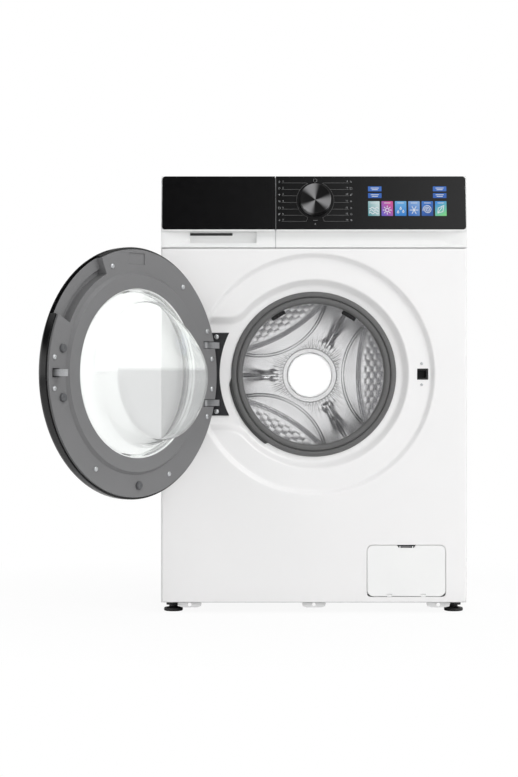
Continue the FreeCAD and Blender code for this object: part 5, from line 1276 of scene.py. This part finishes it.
# Rolled rails across the back, seen in the gaps above and below the rear panel
rearRails = {"half": 267.5, "lows": (806.0, 60.0),
             "outer": ((232, 0), (243.5, 0), (245.3, 0.7), (246, 2.5), (246, 7), (245, 8), (245, 12),
                       (246, 13), (246, 15.5), (245.3, 17.3), (243.5, 18), (232, 18)),
             "inner": ((232, 17), (243.2, 17), (244.5, 16.6), (245, 15.3), (245, 13.3), (244, 12.3),
                       (244, 7.7), (245, 6.7), (245, 2.7), (244.5, 1.4), (243.2, 1), (232, 1))}
for low, label in zip(rearRails["lows"], ("rearRailTop", "rearRailLow")):
    outline = rearRails["outer"] + rearRails["inner"]
    count = len(outline)
    ends = (-rearRails["half"], rearRails["half"])
    verts, faces = joinRings([[(x, y, low + z) for y, z in outline] for x in ends], False)
    for start in (0, count):
        last = start + count - 1
        faces += [(start + i, start + i + 1, last - 1 - i, last - i) for i in range(count // 2 - 1)]
    addPiece(label, verts, faces, "galvanisedSheet", "cabinet")
print("rear rails built")


# Door bumpers: domed pads pressed into the ring, at an angle and a radius about the porthole's centre
doorPads = {"places": ((12.7, 199.8), (-12.7, 199.8), (-91.4, 208.2)), "steps": 40,
            "rows": ((7.9, -0.2), (7.9, 2.8), (7.5, 4.0), (6.6, 4.7), (5.2, 4.95), (4.0, 4.8), (2.6, 4.3),
                     (1.2, 4.1))}
pad = loosePart("padPart", *joinLidded(upright(doorPads["rows"], 0, 0, doorPads["steps"])))
padSites = doorSites([ringAt(r, doorFace, (math.radians(degrees),))[0] for degrees, r in doorPads["places"]])
stands(setOnPoints("doorBumpers", pad, padSites, "padRubber", "door"), "door_bumpers")
bpy.data.objects.remove(pad)
print("door bumpers:", len(padSites))

# Dispenser bellows: rounded folds round a plain bore, tied to the drawer's housing above and the tub below
bellows = {"ribs": 6, "bore": 16.3, "valley": 18.5, "crest": 21.95, "perRib": 10, "steps": 64}


def buildBellows():
    b = bellows
    lo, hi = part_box("dispenser_hose")
    x, y, low, high = (lo.x + hi.x) / 2 / mm, (lo.y + hi.y) / 2 / mm, lo.z / mm, hi.z / mm
    count = b["ribs"] * b["perRib"]
    rows = []
    for i in range(count + 1):
        fold = 0.5 - 0.5 * math.cos(2 * math.pi * i / b["perRib"])
        rows.append((b["valley"] + (b["crest"] - b["valley"]) * fold, low + (high - low) * i / count))
    rows += [(b["bore"], high), (b["bore"], low)]
    verts, faces = joinRings(upright(rows, x, y, b["steps"]), True)
    piece = stands(addPiece("dispenserHose", verts, faces, "blackRubber", None, 40), "dispenser_hose")
    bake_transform(piece)


# Sump elbow: down from the tub, round a bend with shallow folds, and across to the pump
sumpElbow = {"x": 60.0, "y": -127.5, "top": 207.2, "bend": 40.0, "low": 80.0, "end": 146.5, "bore": 14.3,
             "outer": 17.5, "fold": 0.9, "steps": 56, "downRows": 12, "bendRows": 36, "acrossRows": 6,
             "foldRows": 6}


# Each place on the elbow's middle line comes with the way out of the bend there
def elbowPath():
    e = sumpElbow
    turnZ, turnX, down, across = e["low"] + e["bend"], e["x"] + e["bend"], e["downRows"], e["acrossRows"]
    path = [((e["x"], e["top"] + (turnZ - e["top"]) * i / down), (-1.0, 0.0)) for i in range(down)]
    for i in range(e["bendRows"] + 1):
        q = math.radians(180 + 90 * i / e["bendRows"])
        nx, nz = math.cos(q), math.sin(q)
        path.append(((turnX + e["bend"] * nx, turnZ + e["bend"] * nz), (nx, nz)))
    for i in range(1, across + 1):
        path.append(((turnX + (e["end"] - turnX) * i / across, e["low"]), (0.0, -1.0)))
    return path


def buildElbow():
    e = sumpElbow
    path = elbowPath()
    walk = []
    for i, place in enumerate(path):
        folded = e["downRows"] <= i <= e["downRows"] + e["bendRows"]
        fold = e["fold"] * (0.5 - 0.5 * math.cos(i * 2 * math.pi / e["foldRows"]))
        walk.append((place, e["outer"] - fold * folded))
    walk += [(place, e["bore"]) for place in reversed(path)]
    rings = []
    for ((cx, cz), (nx, nz)), r in walk:
        rings.append([(cx + r * math.cos(t) * nx, e["y"] + r * math.sin(t), cz + r * math.cos(t) * nz)
                      for t in around(e["steps"])])
    verts, faces = joinRings(rings, True)
    piece = stands(addPiece("sumpHose", verts, faces, "blackRubber", None, 40), "sump_hose")
    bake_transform(piece)


# Drive belt: flat outside, four ribs inside, tight round both pulleys
driveBelt = {"big": (464.0, 140.3), "small": (112.0, 11.5), "y": (180.5, 194.5), "wall": 3.0, "ribs": 4,
             "ribDeep": 0.9, "bigRows": 90, "smallRows": 24}


def buildBelt():
    b = driveBelt
    (bigZ, bigR), (smallZ, smallR), (y0, y1) = b["big"], b["small"], b["y"]
    lean = math.degrees(math.asin((bigR - smallR) / (bigZ - smallZ)))
    path = []
    for z, r, start, sweep, rows in ((bigZ, bigR, -lean, 180 + 2 * lean, b["bigRows"]),
                                     (smallZ, smallR, 180 + lean, 180 - 2 * lean, b["smallRows"])):
        path += [(z, r, math.radians(start + sweep * i / rows)) for i in range(rows + 1)]
    section = [(b["wall"], y0), (0.0, y0)]
    for i in range(b["ribs"]):
        start, pitch = y0 + (y1 - y0) * i / b["ribs"], (y1 - y0) / b["ribs"]
        section += [(0.0, start + pitch * 0.3), (b["ribDeep"], start + pitch * 0.5),
                    (0.0, start + pitch * 0.7)]
    section += [(0.0, y1), (b["wall"], y1)]
    rings = []
    for z, r, t in path:
        rings.append([((r + out) * math.cos(t), y, z + (r + out) * math.sin(t)) for out, y in section])
    stands(addPiece("driveBelt", *joinRings(rings, True), "blackRubber", "tub", 40), "drive_belt")


buildBellows()
buildElbow()
buildBelt()
print("soft runs built")

# The other solids keep their form: curved ones are shown as a welded copy so that their skins read smooth
weldedFinish = {
    "left_side_panel": "enamelledSteel", "right_side_panel": "enamelledSteel", "worktop": "worktopLaminate",
    "rear_panel": "galvanisedSheet", "base_tray": "greyPolypropylene", "control_fascia": "mouldedWhiteAbs",
    "control_lens": "blackAcrylic", "drawer_front": "mouldedWhiteAbs", "drawer_lens": "blackAcrylic",
    "drawer_tray": "mouldedWhiteAbs", "siphon_cap": "bluePolypropylene", "door_outer_trim": "pianoBlackAbs",
    "door_inner_ring": "satinGreyAbs", "latch_hook": "satinSteel", "hinge_bracket": "phosphatedSteel",
    "door_lock": "blackNylon", "spray_nozzles": "blackNylon", "tub_front": "greyPolypropylene",
    "suspension_springs": "phosphatedSteel", "lifters": "whitePolypropylene",
    "hub_cap": "whitePolypropylene", "inlet_valve": "mouldedWhiteAbs", "rear_glands": "blackNylon",
    "transit_caps": "greyPolypropylene", "pump_filter": "greyPolypropylene", "filter_flap": "mouldedWhiteAbs",
}
plainFinish = {
    "galvanisedSheet": ("top_rails",), "blackNylon": ("control_board", "damper_cylinders"),
    "greyPolypropylene": ("dispenser_housing", "tub_rear", "drain_pump"), "phosphatedSteel": ("hinge_pins",),
    "brightZinc": ("heater", "drum_bearings", "motor_bolts", "motor_pulley", "damper_rods", "drum_shaft"),
    "castConcrete": ("front_counterweights", "top_counterweight"),
    "castAluminium": ("motor_housing", "spider", "drum_pulley"),
}


def weldedCopy(node, body):
    shape = bmesh.new()
    shape.from_mesh(frame["nodes"][node].data)
    bmesh.ops.remove_doubles(shape, verts=shape.verts, dist=0.002 * mm)
    mesh = bpy.data.meshes.new(pieceName(node))
    shape.to_mesh(mesh)
    shape.free()
    if mesh.has_custom_normals:  # these belonged to the loose triangles
        mesh.attributes.remove(mesh.attributes["custom_normal"])
    return stands(placePiece(mesh.name, mesh, weldedFinish[node], body, 28), node)


# Hinge knuckles of the flap belong to the white moulding, though they stand on the grey tray
knuckles = {"x": (146.5, 212.5), "half": 6.0, "y": (-249.0, -238.0), "z": (28.0, 44.0)}
# Hinge arms stand bare in front of their dark plate; the ring's bore round the glass is coloured white,
# painted light on a wall that would lie in shade
hingeArms = {"before": -224.2}
litBoreSeat = {"radius": 156.5}


def onKnuckle(place):
    k = knuckles
    beside = min(abs(place.x - x) for x in k["x"])
    return beside < k["half"] and k["y"][0] < place.y < k["y"][1] and k["z"][0] < place.z < k["z"][1]


def onArm(place):
    return place.y < hingeArms["before"]


def onLitBore(place):
    shut = doorPivot + doorSwing.transposed() @ (place - doorPivot)
    return math.hypot(shut.x, shut.z - cabinet["axis"]) < litBoreSeat["radius"]


secondFinish = {"base_tray": ("mouldedWhiteAbs", onKnuckle), "hinge_bracket": ("satinSteel", onArm),
                "door_inner_ring": ("mouldedWhiteAbs", onLitBore)}
for node in weldedFinish:
    if node == "suspension_springs":  # hooked to the rails above and to the tub below
        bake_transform(weldedCopy(node, None))
        continue
    piece = weldedCopy(node, bodyOfNode[node])
    if node in secondFinish:
        finish, chosen = secondFinish[node]
        piece.data.materials.append(finishes[finish])
        for face in piece.data.polygons:
            face.material_index = 1 if chosen(face.center / mm) else 0
for finish, nodes in plainFinish.items():
    for node in nodes:
        mesh = frame["nodes"][node].data
        mesh.materials.clear()
        mesh.materials.append(finishes[finish])
print("solids dressed:", len(weldedFinish) + sum(len(nodes) for nodes in plainFinish.values()))


# Plain studio: a soft front light a little above the lens, a key on the right and a glow into the drum
studio = {"cameraAt": (-0.107, -4.2475, 0.436), "lens": 95.33, "sensor": 36.0, "worldLight": (0.14, 0.46),
          "skyWay": (0.40, -0.30, 0.87), "panelGlow": (0.03, 0.95), "lowGlow": 1.0, "highGlow": 0.85,
          "floorHalf": 14, "floorWhite": (0.93, 1.0), "floorFade": (0.45, 1.1), "fibreMm": 4}
# Each lamp: whether mirrors show it, where it stands, where it looks, its size and its power
lamps = {"frontSoft": (False, (1.2, -6.0, 1.2), (0, 0, 0.4), 1.8, 60),
         "keyRight": (True, (4.2, -4.4, 5.9), (0, 0, 0.45), 4.5, 190),
         "sideRight": (False, (1.8, -1.8, 1.5), (0.2, -0.2, 0.5), 1.2, 9),
         "fillLeft": (True, (-3.0, -3.0, 1.8), (-0.2, 0, 0.5), 2.4, 21),
         "overhead": (True, (0.0, -0.4, 3.4), (0, 0, 0.4), 2.6, 12),
         "backRim": (True, (0.6, 3.2, 2.4), (0, 0, 0.5), 2.4, 40)}
drumGlow = {"at": (0.02, -4.6, 0.52), "aim": (0, 0.09, 0.464), "angle": 1.3, "blend": 0.4, "radius": 0.01,
            "power": 760}


def addLamp(name, kind, at, aim, power):
    holder = newObject(name, bpy.data.lights.new(name, kind))
    holder.data.energy = power
    holder.location = at
    holder.rotation_euler = (Vector(aim) - Vector(at)).to_track_quat("-Z", "Y").to_euler()
    return holder


def buildCamera():
    eye = bpy.data.cameras.new("photoView")
    eye.lens = studio["lens"]
    eye.sensor_width = studio["sensor"]
    eye.clip_end = 60
    camera = newObject("photoView", eye)
    camera.location = studio["cameraAt"]
    camera.rotation_euler = (math.radians(90), 0, 0)
    bpy.context.scene.camera = camera


# What the lens sees straight or through glass
def seenDirectly(tree, path):
    return mathOf(tree, "MAXIMUM", path["Is Camera Ray"], path["Is Transmission Ray"])


# White paper: to the eye it runs to plain white away from the object, and keeps a faint shadow round the feet
def buildFloor():
    s, h = studio, studio["floorHalf"]
    mesh = bpy.data.meshes.new("floor")
    mesh.from_pydata([(-h, -h, 0), (h, -h, 0), (h, h, 0), (-h, h, 0)], [], [(0, 1, 2, 3)])
    newObject("floor", mesh)
    paper, tree, shader, place = newMaterial("whitePaper", {"Roughness": 0.9})
    feed(shader, {"Base Color": tintOf(tree, noiseOf(tree, place, s["fibreMm"]), "#EEEEEE", "#F4F4F4")})
    white = addNode(tree, "ShaderNodeEmission", None, {"Color": (1, 1, 1, 1), "Strength": 1.0})
    path = addNode(tree, "ShaderNodeLightPath").outputs
    fade = rangeOf(tree, vectorOf(tree, "LENGTH", place), s["floorWhite"], s["floorFade"])
    share = mathOf(tree, "MULTIPLY", seenDirectly(tree, path), fade)
    mixed = addNode(tree, "ShaderNodeMixShader", None, {0: share, 1: shader.outputs[0], 2: white.outputs[0]})
    feed(tree.nodes["Material Output"], {"Surface": mixed.outputs[0]})
    mesh.materials.append(paper)


# Room: white to the eye, soft for light; reflections see a pale room ahead and, higher up, one side darker
def buildRoom():
    s = studio
    world = bpy.data.worlds.new("studio")
    bpy.context.scene.world = world
    world.use_nodes = True
    tree = world.node_tree
    tree.nodes.clear()

    def glowOf(strength):
        made = addNode(tree, "ShaderNodeBackground", None, {"Color": (1, 1, 1, 1), "Strength": strength})
        return made.outputs[0]

    def mixOf(kind, share, first, second, sockets):
        return addNode(tree, kind, None, dict(zip(sockets, (share, first, second)))).outputs[0]

    path = addNode(tree, "ShaderNodeLightPath").outputs
    way = addNode(tree, "ShaderNodeTexCoord").outputs["Generated"]
    split = splitOf(tree, way)
    sky = rangeOf(tree, vectorOf(tree, "DOT_PRODUCT", way, s["skyWay"]), s["worldLight"], (-0.3, 0.9))
    across = mathOf(tree, "POWER", rangeOf(tree, split["X"], span=(-0.05, 0.10)), 2.0)
    panel = rangeOf(tree, across, s["panelGlow"])
    height = rangeOf(tree, split["Z"], span=(0.16, 0.30))
    above = rangeOf(tree, split["Z"], span=(0.46, 0.62))
    ahead = mixOf("ShaderNodeMix", height, s["lowGlow"], panel, (0, 2, 3))
    mirror = mixOf("ShaderNodeMix", above, ahead, s["highGlow"], (0, 2, 3))
    lit = mixOf("ShaderNodeMixShader", path["Is Glossy Ray"], glowOf(sky), glowOf(mirror), (0, 1, 2))
    both = mixOf("ShaderNodeMixShader", seenDirectly(tree, path), lit, glowOf(1.0), (0, 1, 2))
    addNode(tree, "ShaderNodeOutputWorld", None, {"Surface": both})


def buildStudio():
    buildCamera()
    for name, (mirrored, at, aim, size, power) in lamps.items():
        holder = addLamp(name, "AREA", at, aim, power)
        holder.visible_glossy = mirrored  # flat steel and the black panel would throw the front ones back
        holder.data.shape = "DISK"
        holder.data.size = size
    p = drumGlow
    glow = addLamp("drumGlow", "SPOT", p["at"], p["aim"], p["power"])
    glow.visible_glossy = False  # it lights the white cap without burning out the steel round it
    glow.data.spot_size = math.radians(p["angle"])
    glow.data.spot_blend = p["blend"]
    glow.data.shadow_soft_size = p["radius"]
    buildFloor()
    buildRoom()
    bpy.context.scene.view_settings.view_transform = "Standard"


buildStudio()
print("studio built")
